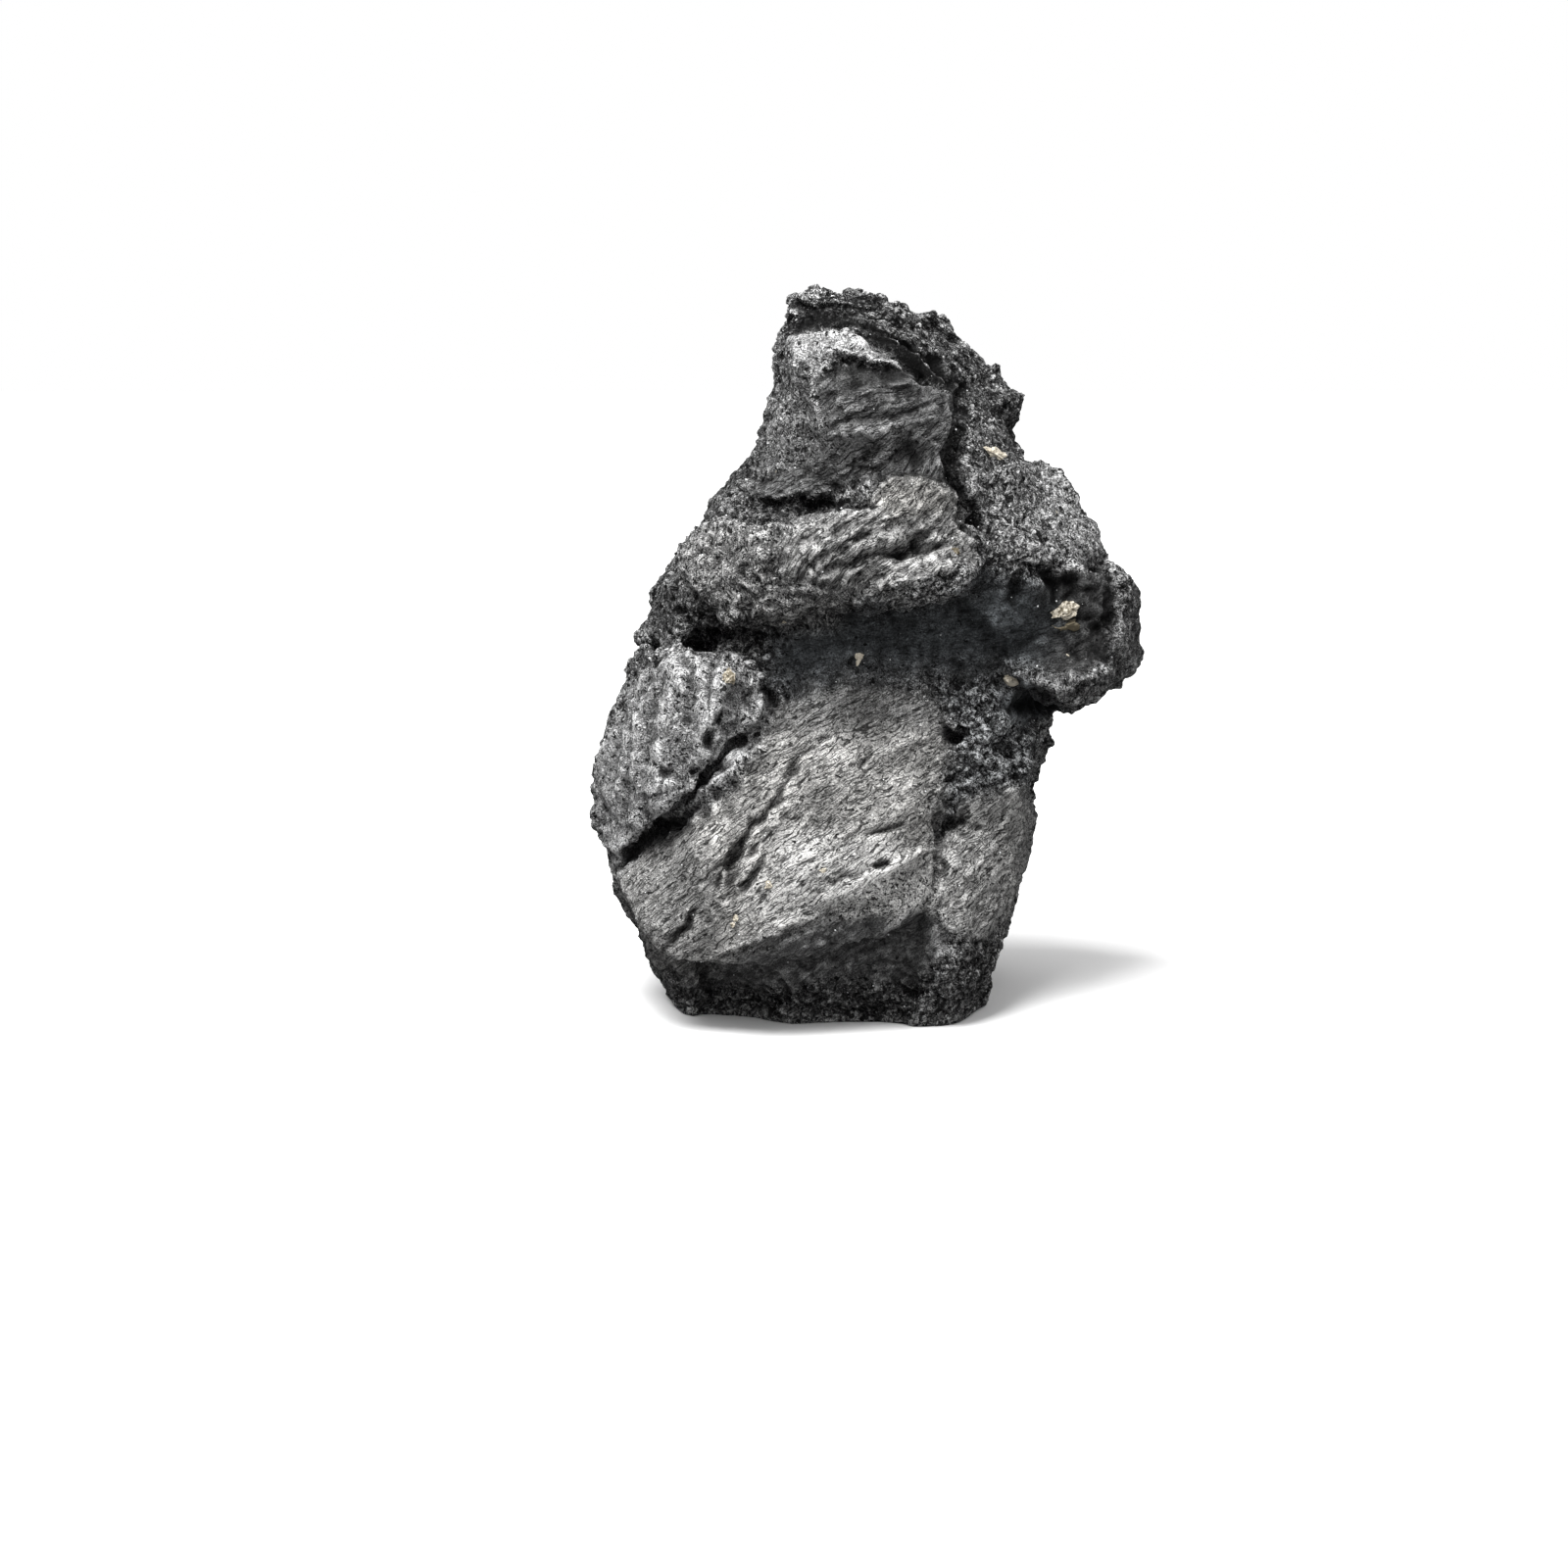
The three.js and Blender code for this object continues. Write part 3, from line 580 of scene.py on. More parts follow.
FEATURES = {
    # the outline: the low top with its two knobs, the step beside it and the dip in the left slope
    "outline": (
        Feature(((766, 300), (796, 284), (850, 280), (880, 286), (924, 298)), 7.0, 2.4,
                limb=True, wander=0.5),
        Feature(((794, 316), (791, 340), (788, 366), (782, 396)), 7.0, 3.2, Cut.RIDGE, limb=True, wander=0.5),
        Feature(((994, 356), (1010, 376), (1030, 402), (1044, 428)), 6.0, 3.0, Cut.RIDGE,
                limb=True, wander=0.5),
        Feature(((686, 560), (672, 590), (660, 620)), 6.0, 2.2, Cut.RIDGE, limb=True, wander=0.5),
        Feature(((656, 646), (640, 672)), 5.0, 4.0, Cut.RIDGE, limb=True, wander=0.5),
        Feature(((852, 288), (856, 302)), 2.4, 3.0, limb=True),
        Feature(((900, 296), (922, 304)), 3.0, 3.0, limb=True),
        Feature(((946, 318), (972, 328)), 4.0, 2.4, Cut.RIDGE, limb=True, wander=0.5),
        Feature(((1008, 376), (1016, 384)), 2.4, 2.4, Cut.RIDGE, limb=True),
        Feature(((1046, 440), (1052, 462), (1062, 470)), 3.4, 2.4, limb=True),
        Feature(((1108, 508), (1126, 536)), 4.0, 2.6, limb=True),
        Feature(((772, 430), (752, 466), (736, 492)), 6.0, 3.2, limb=True),
        Feature(((716, 516), (704, 532)), 4.0, 2.8, limb=True),
        Feature(((1172, 606), (1176, 640), (1172, 672)), 6.0, 2.6, limb=True),
    ),
    # the crown and the shadow under it
    "crown": (
        Feature(((803, 336), (820, 329), (851, 326), (880, 331)), 2.8, 7.0, wander=2.5),
        Feature(((884, 338), (905, 352), (925, 362), (944, 375), (966, 392)), 4.4, 8.5, wander=2.5),
        Feature(((796, 308), (826, 314), (856, 310), (884, 318)), 1.8, 3.6, wander=2.5),
        Feature(((866, 294), (884, 306), (912, 318), (930, 332)), 1.8, 4.0, wander=2.5),
        Feature(((926, 312), (950, 328), (980, 350)), 1.8, 4.0, wander=2.5),
        Feature(((800, 296), (822, 298), (846, 294)), 1.6, 2.2, Cut.RIDGE, wander=2.5),
        Feature(((880, 296), (906, 306), (936, 320)), 1.8, 2.4, Cut.RIDGE, wander=2.5),
        Feature(((940, 350), (962, 364), (984, 384)), 1.8, 2.4, Cut.RIDGE, wander=2.5),
    ),
    # the crag: its hollow, its nose and the ledges that run to its prow
    "crag": (
        Feature(((850, 378), (880, 376), (925, 382)), 3.0, 1.8, wander=2.0),
        Feature(((866, 392), (880, 390)), 2.0, 1.4, wander=2.0),
        Feature(((818, 372), (828, 396), (834, 420), (840, 446)), 2.6, 2.2, Cut.RIDGE),
        Feature(((880, 400), (905, 396), (940, 392), (966, 398)), 1.8, 2.4, Cut.RIDGE),
        Feature(((838, 378), (849, 362), (874, 361), (890, 370), (930, 375)), 1.4, 1.6, Cut.RIDGE),
        Feature(((852, 430), (884, 424), (917, 424), (950, 412)), 1.8, 2.0),
        Feature(((846, 446), (890, 440), (930, 430), (958, 428)), 1.6, 1.5, Cut.RIDGE),
        Feature(((930, 448), (934, 480)), 5.0, 3.6),
        Feature(((968, 404), (966, 430), (960, 456), (957, 482)), 1.6, 1.6, Cut.RIDGE),
        Feature(((984, 396), (979, 430), (970, 466), (984, 500), (1004, 556)), 3.0, 7.5, wander=2.0),
        Feature(((984, 520), (996, 540)), 2.6, 4.5, wander=3.0),
        Feature(((1056, 576), (1072, 588), (1076, 612)), 2.4, 5.0, wander=3.0),
    ),
    # the brow: its crack, its grooves and its lip
    "brow": (
        Feature(((724, 524), (775, 529), (824, 526)), 1.1, 3.6),
        Feature(((812, 518), (845, 514), (873, 514), (890, 517)), 1.2, 4.4, wander=0.8),
        Feature(((900, 570), (932, 562), (962, 554)), 2.4, 7.0),
        Feature(((866, 551), (888, 545)), 1.2, 2.6, wander=0.6),
        Feature(((840, 585), (880, 572), (905, 560)), 1.4, 1.6),
        Feature(((790, 590), (830, 566), (860, 548)), 2.2, 1.6, Cut.RIDGE),
        Feature(((880, 596), (930, 584), (975, 574)), 2.4, 2.0, Cut.RIDGE),
        Feature(((880, 618), (930, 604), (966, 592), (998, 576)), 6.5, 6.5, Cut.RIDGE, limb=True),
        Feature(((955, 492), (979, 512), (986, 536), (1002, 562)), 1.4, 0.9, Cut.RIDGE),
        Feature(((786, 636), (812, 632)), 2.4, 2.4, Cut.RIDGE),
    ),
    # the left hollow and the column under it
    "column": (
        Feature(((702, 653), (720, 655), (734, 651)), 3.4, 5.0, wander=2.5),
        Feature(((664, 634), (660, 652), (664, 668)), 4.0, 2.6, Cut.RIDGE, limb=True),
        Feature(((738, 689), (752, 692)), 3.2, 2.6, Cut.RIDGE),
        Feature(((704, 672), (702, 715), (690, 760)), 1.6, 1.7),
        Feature(((672, 676), (664, 730), (652, 790)), 1.6, 1.6),
        Feature(((724, 680), (722, 720)), 1.4, 1.4),
        Feature(((716, 752), (728, 764)), 2.8, 4.2),
        Feature(((676, 784), (684, 790)), 2.2, 3.2),
        Feature(((706, 788), (716, 791)), 2.0, 3.0),
        Feature(((728, 736), (742, 730)), 2.2, 3.0),
        Feature(((629, 889), (653, 856), (688, 838), (715, 826)), 1.9, 5.5),
        Feature(((706, 830), (739, 801), (772, 764)), 5.0, 7.0, Cut.RIDGE, wander=2.5),
        Feature(((762, 709), (784, 706), (788, 724)), 1.6, 2.0, wander=3.0),
        Feature(((764, 728), (776, 748)), 3.4, 2.6, Cut.RIDGE),
    ),
    # the slab: the fault across it and its cracks
    "slab": (
        Feature(((731, 905), (750, 872), (768, 846), (796, 812), (812, 772), (832, 764)), 1.5, 2.6),
        Feature(((748, 920), (770, 890), (784, 872)), 1.4, 2.8),
        Feature(((760, 874), (776, 860)), 1.5, 2.0),
        Feature(((677, 968), (701, 944), (708, 928)), 2.0, 3.6),
        Feature(((890, 884), (908, 880)), 1.3, 3.8, wander=0.5),
        Feature(((877, 784), (889, 766)), 1.1, 2.4, wander=0.6),
        Feature(((880, 853), (900, 848), (922, 841)), 0.9, 2.0, wander=0.6),
        Feature(((836, 900), (868, 896), (890, 884)), 1.2, 1.4),
        Feature(((820, 868), (870, 846), (920, 824)), 3.0, 0.7, Cut.RIDGE),
        Feature(((830, 800), (880, 768), (935, 752)), 3.0, 0.7, Cut.RIDGE),
        Feature(((700, 900), (740, 868)), 2.4, 1.4, Cut.RIDGE),
        Feature(((720, 979), (760, 962), (813, 941), (842, 930)), 1.6, 1.8, Cut.RIDGE),
    ),
    # the right band, its pockets and the flake
    "band": (
        Feature(((966, 736), (976, 746), (990, 752)), 1.1, 3.4, Cut.RIDGE, wander=3.0),
        Feature(((986, 734), (976, 744)), 1.1, 2.4, Cut.RIDGE, wander=3.0),
        Feature(((958, 834), (957, 856), (962, 880), (957, 910)), 1.3, 3.6, wander=2.5),
        Feature(((964, 848), (980, 838), (994, 842)), 2.6, 4.0, wander=3.0),
        Feature(((972, 793), (978, 799)), 2.2, 3.4),
        Feature(((1030, 786), (1046, 792)), 3.2, 3.6),
        Feature(((1032, 728), (1052, 716), (1084, 720)), 4.2, 4.5, wander=2.5),
        Feature(((1046, 766), (1056, 748), (1062, 732)), 1.8, 2.8, Cut.RIDGE),
        Feature(((1000, 730), (1010, 712)), 2.0, 2.4),
        Feature(((990, 772), (1010, 764)), 2.2, 2.4, Cut.RIDGE),
    ),
    # the knob: its crease, the lump in its hollow and its sill
    "knob": (
        Feature(((1131, 578), (1138, 608), (1133, 630), (1116, 646)), 2.0, 3.6),
        Feature(((1052, 592), (1062, 604)), 3.6, 2.4, Cut.RIDGE),
        Feature(((1040, 690), (1081, 706), (1104, 716), (1138, 706)), 2.4, 2.0, Cut.RIDGE),
        Feature(((1040, 588), (1034, 616)), 3.0, 3.0),
        Feature(((1086, 588), (1094, 604)), 3.0, 3.4),
    ),
}


class Wiring:
    """Adds nodes to one node tree and joins them."""

    def __init__(self, tree: bpy.types.NodeTree) -> None:
        """Takes the tree that the nodes go into."""
        self.tree = tree

    def add(self, kind: str, inputs: dict | None = None, **settings: object) -> bpy.types.Node:
        """Adds a node.

        Args:
            kind: the node's type name.
            inputs: value or socket for each input, by its name or number.
            settings: the node's own settings.

        Returns:
            The node.
        """
        node = self.tree.nodes.new(kind)
        for name, value in settings.items():
            setattr(node, name, value)
        for key, value in (inputs or {}).items():
            if isinstance(value, bpy.types.NodeSocket):
                self.tree.links.new(value, node.inputs[key])
            else:
                node.inputs[key].default_value = value
        return node

    def inputs(self) -> bpy.types.bpy_prop_collection:
        """Gives what the tree is given, by name."""
        return self.add("NodeGroupInput").outputs

    def math(self, operation: str, a: object, b: object = 0.0) -> bpy.types.NodeSocket:
        """Combines two numbers."""
        return self.add("ShaderNodeMath", {0: a, 1: b}, operation=operation).outputs[0]

    def ramp(self, value: object, low: float, high: float, start: float = 0.0, end: float = 1.0
             ) -> bpy.types.NodeSocket:
        """Rises smoothly from start to end while a value goes from low to high."""
        inputs = {"Value": value, "From Min": low, "From Max": high, "To Min": start, "To Max": end}
        return self.add("ShaderNodeMapRange", inputs, interpolation_type="SMOOTHSTEP").outputs["Result"]

    def scale(self, vector: object, by: object) -> bpy.types.NodeSocket:
        """Scales a vector."""
        return self.add("ShaderNodeVectorMath", {0: vector, "Scale": by}, operation="SCALE").outputs[0]

    def multiply(self, vector: object, by: object) -> bpy.types.NodeSocket:
        """Multiplies a vector by another, axis by axis."""
        return self.add("ShaderNodeVectorMath", {0: vector, 1: by}, operation="MULTIPLY").outputs[0]

    def sum(self, a: object, b: object) -> bpy.types.NodeSocket:
        """Adds two vectors."""
        return self.add("ShaderNodeVectorMath", {0: a, 1: b}, operation="ADD").outputs[0]

    def apart(self, a: object, b: object) -> bpy.types.NodeSocket:
        """Gives the way from b to a."""
        return self.add("ShaderNodeVectorMath", {0: a, 1: b}, operation="SUBTRACT").outputs[0]

    def bend(self, vector: object, slow: object, fast: object, by: tuple[float, float]
             ) -> bpy.types.NodeSocket:
        """Shifts a vector by a slow and a fast noise, each as far as its number says."""
        shift = self.sum(self.scale(slow, by[0]), self.scale(fast, by[1]))
        return self.sum(vector, shift)

    def first(self, vector: object) -> bpy.types.NodeSocket:
        """Takes a vector's first number."""
        return self.add("ShaderNodeSeparateXYZ", {0: vector}).outputs[0]

    def blend(self, share: object, a: object, b: object) -> bpy.types.NodeSocket:
        """Mixes two colours."""
        return self.add("ShaderNodeMix", {0: share, 6: a, 7: b}, data_type="RGBA").outputs[2]

    def off_middle(self, value: object) -> bpy.types.NodeSocket:
        """Gives how far a number from 0 to 1 lies above a half."""
        return self.math("SUBTRACT", value, 0.5)

    def noise(self, vector: object, scale: float, detail: float = 2.0, rough: float = 0.5,
              seed: object = 0.0) -> bpy.types.Node:
        """Adds a noise texture."""
        inputs = {"Vector": vector, "W": seed, "Scale": scale, "Detail": detail, "Roughness": rough}
        return self.add("ShaderNodeTexNoise", inputs, noise_dimensions="4D")

    def cells(self, vector: object, seed: object) -> bpy.types.Node:
        """Adds a cell texture, its cells about 1 across."""
        inputs = {"Vector": vector, "W": seed, "Scale": 1.0}
        return self.add("ShaderNodeTexVoronoi", inputs, voronoi_dimensions="4D", feature="F1")

    def finish(self, geometry: bpy.types.NodeSocket, material: bpy.types.Material) -> None:
        """Ends a geometry tree: makes its result real and dresses it.

        Args:
            geometry: the result.
            material: what it is dressed in.
        """
        whole = self.add("GeometryNodeRealizeInstances", {0: geometry})
        dressed = self.add("GeometryNodeSetMaterial", {"Geometry": whole.outputs[0], "Material": material})
        self.add("NodeGroupOutput", {0: dressed.outputs[0]})


def new_socket(tree: bpy.types.NodeTree, name: str, kind: str, output: bool = False,
               value: object = None) -> None:
    """Adds a named socket to a group's interface.

    Args:
        tree: the group.
        name: the socket's name.
        kind: the socket's type name.
        output: whether it is an output.
        value: its value where nothing is joined to it, if it has one.
    """
    socket = tree.interface.new_socket(name=name, in_out="OUTPUT" if output else "INPUT", socket_type=kind)
    if value is not None:
        socket.default_value = value


def object_from(mesh: bpy.types.Mesh, name: str) -> bpy.types.Object:
    """Puts a mesh in the scene as an object at the origin.

    Args:
        mesh: the mesh.
        name: the object's name.

    Returns:
        The object.
    """
    made = bpy.data.objects.new(name, mesh)
    bpy.context.scene.collection.objects.link(made)
    return made


def apply_modifiers(made: bpy.types.Object) -> None:
    """Turns what an object's modifiers make of it into its plain mesh.

    Args:
        made: the object.
    """
    bpy.context.view_layer.update()
    shown = made.evaluated_get(bpy.context.evaluated_depsgraph_get())
    mesh = bpy.data.meshes.new_from_object(shown)
    made.modifiers.clear()
    old, made.data = made.data, mesh
    bpy.data.meshes.remove(old)


def run_tree(made: bpy.types.Object, tree: bpy.types.NodeTree, values: dict[str, object]) -> None:
    """Runs a Geometry Nodes tree on an object and keeps the result as its mesh.

    Args:
        made: the object.
        tree: the tree.
        values: the tree's inputs, by name.
    """
    modifier = made.modifiers.new(tree.name, "NODES")
    modifier.node_group = tree
    for item in tree.interface.items_tree:
        if item.item_type == "SOCKET" and item.in_out == "INPUT" and item.name in values:
            modifier[item.identifier] = values[item.name]
    apply_modifiers(made)


class Surface:
    """A mesh's places and normals as arrays, with what depends on them."""

    def __init__(self, mesh: bpy.types.Mesh) -> None:
        """Reads the mesh.

        Args:
            mesh: the mesh.
        """
        self.mesh = mesh
        count = len(mesh.vertices)
        self.points = np.empty(count * 3)
        mesh.vertices.foreach_get("co", self.points)
        self.points = self.points.reshape(-1, 3)
        self.normals = np.empty(count * 3)
        mesh.vertices.foreach_get("normal", self.normals)
        self.normals = self.normals.reshape(-1, 3)
        edges = np.empty(len(mesh.edges) * 2, dtype=np.int32)
        mesh.edges.foreach_get("vertices", edges)
        self.edges = edges.reshape(-1, 2)
        self.degree = np.maximum(np.bincount(edges, minlength=count), 1)

    def averaged(self, values: np.ndarray, passes: int) -> np.ndarray:
        """Evens values out over the mesh.

        Args:
            values: N by K values at the corners.
            passes: how many times each corner takes the mean of its neighbours.

        Returns:
            The evened values.
        """
        a, b = self.edges.T
        count = len(self.points)
        for _ in range(passes):
            columns = [
                (np.bincount(a, values[b, k], count) + np.bincount(b, values[a, k], count)) / self.degree
                for k in range(values.shape[1])
            ]
            values = 0.5 * values + 0.5 * np.stack(columns, axis=1)
        return values

    def broad_normals(self, passes: int) -> np.ndarray:
        """Gives the normals of the surface with its small relief evened out."""
        normals = self.averaged(self.normals, passes)
        return normals / np.maximum(np.linalg.norm(normals, axis=1), TINY)[:, None]

    def sunk(self, passes: int) -> np.ndarray:
        """Gives how far each corner lies below its surroundings, in metres."""
        return np.einsum("ij,ij->i", self.averaged(self.points, passes) - self.points, self.normals)

    def write(self) -> None:
        """Puts the places back into the mesh."""
        self.mesh.vertices.foreach_set("co", self.points.ravel())
        self.mesh.update()

    def store(self, name: str, values: np.ndarray) -> None:
        """Keeps values on the mesh.

        Args:
            name: the attribute's name.
            values: a number or a vector for each corner.
        """
        kind = "FLOAT" if values.ndim == 1 else "FLOAT_VECTOR"
        field = "value" if values.ndim == 1 else "vector"
        attribute = self.mesh.attributes.get(name) or self.mesh.attributes.new(name, kind, "POINT")
        attribute.data.foreach_set(field, values.astype(np.float32).ravel())


@dataclass
class Marks:
    """What each place of the surface is like: its relief, its tone and tint, and its flow coordinates."""

    cindery: np.ndarray
    porous: np.ndarray
    streaked: np.ndarray
    ribbed: np.ndarray
    lumpy: np.ndarray
    tone: np.ndarray
    warm: np.ndarray
    cool: np.ndarray
    flow: np.ndarray
    # how far the regions' edges stray, in pixels, and over what length
    STRAY: ClassVar[float] = 9.0
    STRAY_LENGTH: ClassVar[float] = 8 * MM

    @classmethod
    def of(cls, points: np.ndarray, normals: np.ndarray, noise: Noise) -> "Marks":
        """Works the marks out from the named regions, and by noise where the front doesn't show.

        Args:
            points: N by 3 places.
            normals: N by 3 broad normals.
            noise: the stone's noise.

        Returns:
            The marks of each place.
        """
        seen = VIEW.pixels(points)
        stray = [noise(points, cls.STRAY_LENGTH), noise(points + 0.3, cls.STRAY_LENGTH)]
        pixels = seen + np.stack(stray, axis=1) * cls.STRAY
        facing = smoothstep(-0.05, 0.25, -(normals @ VIEW.forward))
        count = len(points)
        made = cls(*(np.zeros(count) for _ in fields(cls)[:-1]), rest_flow(points))
        taken = np.zeros(count)
        strongest = np.full(count, 0.02)
        flows = {name: flow.coordinates(seen) for name, flow in FLOWS.items()}
        for region in REGIONS.values():
            relief = RELIEFS[region.treatment]
            share = region.mask(pixels) * facing * (1.0 - taken)
            taken += share
            made.tone += share * region.tone
            made.warm += share * region.warm
            made.cool += share * region.cool
            made.lumpy += share * region.lumpy
            made.cindery += share * relief.cinders
            made.streaked += share * relief.streaks
            made.ribbed += share * relief.ribs
            made.porous += share * relief.pores
            leads = (share > strongest) & (relief.streaks > 0.0)
            strongest = np.where(leads, share, strongest)
            made.flow[leads, :2] = flows[region.flow][leads]
        made.add_rest(points, 1.0 - taken, facing, noise)
        return made

    def add_rest(self, points: np.ndarray, rest: np.ndarray, facing: np.ndarray, noise: Noise) -> None:
        """Marks what no region covers: streaked bands in cindery rock, darker and rougher at the crown.

        Args:
            points: N by 3 places.
            rest: how much of each place no region covers.
            facing: how far each place faces the viewer.
            noise: the stone's noise.
        """
        bands = smoothstep(-0.15, 0.45, noise.layered(points + 3.1, 46 * MM, 3)) * (1.0 - facing)
        crown = smoothstep(178 * MM, 200 * MM, points[:, 2] + 0.25 * points[:, 0])
        self.streaked += rest * bands
        self.cindery += rest * (1.0 - bands) * np.maximum(crown, 0.5)
        self.porous += rest * (1.0 - 0.7 * bands)
        self.lumpy += rest * (0.8 + 0.5 * crown) * (1.0 - 0.5 * bands)
        self.tone += rest * (0.2 * bands - 0.35 * crown + 0.45 * noise(points + 7.7, 32 * MM))


def rest_flow(points: np.ndarray) -> np.ndarray:
    """Lays flow coordinates over the sides and the back.

    Args:
        points: N by 3 places.

    Returns:
        N by 3 distances: across the streaks, along them and into the stone.
    """
    tilt = math.radians(34.0)
    radius = 0.2
    around = np.arctan2(points[:, 0], points[:, 1] + radius) * radius
    across = points[:, 2] * math.cos(tilt) - around * math.sin(tilt)
    along = points[:, 2] * math.sin(tilt) + around * math.cos(tilt)
    return np.stack([across, along, points[:, 1]], axis=1)


@dataclass
class Stone:
    """The stone itself, refined from its solid."""

    finish: bpy.types.Material
    # the side of a face in the two even meshes that it goes through, how often the first is
    # smoothed, and how many triangles are left at the end
    rough_voxel: float = 0.9 * MM
    fine_voxel: float = 0.5 * MM
    rounding: int = 5
    triangles: int = 197_000
    # the foot: where cuts and relief fade toward the ground, and below which height it is flat
    foot_height: float = 4 * MM
    foot_fade: tuple[float, float] = (0.2 * MM, 3 * MM)
    foot_step: float = 0.25 * MM
    # lumps with seams between, ribs and slow swells
    bend: float = 3.0 * MM
    bend_length: float = 7 * MM
    lump_length: float = 9.5 * MM
    lump_height: float = 2.0 * MM
    seam_depth: float = 2.4 * MM
    rib_spacing: float = 8.5 * MM
    rib_height: float = 5.6 * MM
    swell_length: float = 24 * MM
    swell_height: float = 1.6 * MM
    # the depth of cut at which the painted shade in it is full, and how dark that painted shade is
    darkest_cut: float = 5 * MM
    shade: float = 1.7
    # pores large and small, and the share of the places for them that have none
    pore_size: float = 4.6 * MM
    pore_depth: float = 2.4 * MM
    closed: float = 0.6
    small_pore_size: float = 2.4 * MM
    small_pore_depth: float = 0.7 * MM
    small_closed: float = 0.4
    # crust: its depth, its waves to a metre, and the share of it that streaked parts have
    crust: float = 1.6 * MM
    crust_waves: float = 420.0
    streaked_crust: float = 0.35
    # chips, and the size and depth of the fine ones as shares of theirs
    chip_size: float = 8.0 * MM
    chip_depth: float = 1.0 * MM
    fine_chips: tuple[float, float] = (0.4, 0.25)
    # slow and fast noise, in waves to a metre, and how far each bends the pores and the streaks
    slow_waves: float = 190.0
    fast_waves: float = 700.0
    pore_bend: tuple[float, float] = (3.0 * MM, 1.1 * MM)
    flow_bend: tuple[float, float] = (3.4 * MM, 0.8 * MM)
    # plates and swells along the flow
    streak_spacing: float = 2.8 * MM
    streak_length: float = 14 * MM
    streak_depth: float = 0.6 * MM
    streak_swell: float = 0.7 * MM
    seed: int = 7

    def build(self) -> bpy.types.Object:
        """Makes the stone's mesh.

        Returns:
            The stone, not yet dressed.
        """
        self.noise = Noise(self.seed)
        stone = self.rough_out()
        self.carve(stone)
        self.remesh(stone, self.fine_voxel)
        apply_modifiers(stone)
        self.roughen(stone)
        self.thin_out(stone)
        self.mark(stone)
        return stone

    @staticmethod
    def remesh(stone: bpy.types.Object, voxel: float) -> None:
        """Adds a modifier that makes an even mesh.

        Args:
            stone: the stone.
            voxel: the length of a face's side.
        """
        even = stone.modifiers.new("even", "REMESH")
        even.mode = "VOXEL"
        even.voxel_size = voxel

    def rough_out(self) -> bpy.types.Object:
        """Copies the solid and softens its facets and creases.

        Returns:
            The rough stone.
        """
        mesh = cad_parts[NODE].data.copy()
        mesh.materials.clear()
        work = bmesh.new()
        work.from_mesh(mesh)
        bmesh.ops.remove_doubles(work, verts=work.verts, dist=1e-6)
        work.to_mesh(mesh)
        work.free()
        stone = object_from(mesh, "stone")
        self.remesh(stone, self.rough_voxel)
        soften = stone.modifiers.new("soften", "SMOOTH")
        soften.factor = 0.5
        soften.iterations = self.rounding
        apply_modifiers(stone)
        return stone

    def carve(self, stone: bpy.types.Object) -> None:
        """Cuts the named cracks, pits and ledges, and breaks the broad faces into lumps.

        Args:
            stone: the rough stone.
        """
        surface = Surface(stone.data)
        broad = surface.broad_normals(12)
        points = surface.points
        marks = Marks.of(points, broad, self.noise)
        ways = [self.noise(points + shift, self.bend_length) for shift in (4.1, 5.2, 6.3)]
        bend = np.stack(ways, axis=1) * self.bend
        moved = carved(points, broad, self.noise)
        moved += marks.lumpy * self.lumps(points, bend)
        swell = self.noise.layered(points + 2.6, self.swell_length, 2)
        moved += self.swell_height * swell * (0.4 + 0.6 * marks.lumpy)
        upright = np.abs(self.noise(points * [1.0, 0.5, 0.17] + 0.6 * bend, self.rib_spacing))
        moved += marks.ribbed * (upright - 0.3) * self.rib_height
        fades = smoothstep(0.0, self.foot_height, points[:, 2])
        surface.points = points + (moved * fades)[:, None] * broad
        surface.write()

    def lumps(self, points: np.ndarray, bend: np.ndarray) -> np.ndarray:
        """Shapes lumps with thin seams between some of them.

        Args:
            points: N by 3 places.
            bend: N by 3 shifts that bend the lumps.

        Returns:
            How far each place is raised.
        """
        squat = (points + bend) * [1.0, 1.0, 1.5]
        lumps = sum(np.abs(self.noise(squat + Noise.SHIFT * k, self.lump_length / 2 ** k)) / 1.6 ** k
                    for k in range(3)) * 1.8
        lumps -= lumps.mean() + 0.5
        seams = smoothstep(0.11, 0.0, np.abs(self.noise(squat + 9.4, 1.4 * self.lump_length)))
        seams = seams * smoothstep(-0.2, 0.3, self.noise(points + 6.6, 16 * MM))
        return self.lump_height * lumps - self.seam_depth * seams

    def roughen(self, stone: bpy.types.Object) -> None:
        """Presses the pores and streaks into the surface by Geometry Nodes.

        Args:
            stone: the carved stone.
        """
        surface = Surface(stone.data)
        broad = surface.broad_normals(10)
        marks = Marks.of(surface.points, broad, self.noise)
        for name in ("porous", "cindery", "streaked", "lumpy", "flow"):
            surface.store(name, getattr(marks, name))
        surface.store("broad", broad)
        run_tree(stone, self.relief_tree(), {
            "Pore Size": self.pore_size,
            "Pore Depth": self.pore_depth,
            "Small Pore Size": self.small_pore_size,
            "Small Pore Depth": self.small_pore_depth,
            "Crust": self.crust,
            "Chip Size": self.chip_size,
            "Chip Depth": self.chip_depth,
            "Streak Spacing": self.streak_spacing,
            "Streak Length": self.streak_length,
            "Streak Depth": self.streak_depth,
            "Streak Swell": self.streak_swell,
            "Seed": float(self.seed),
        })

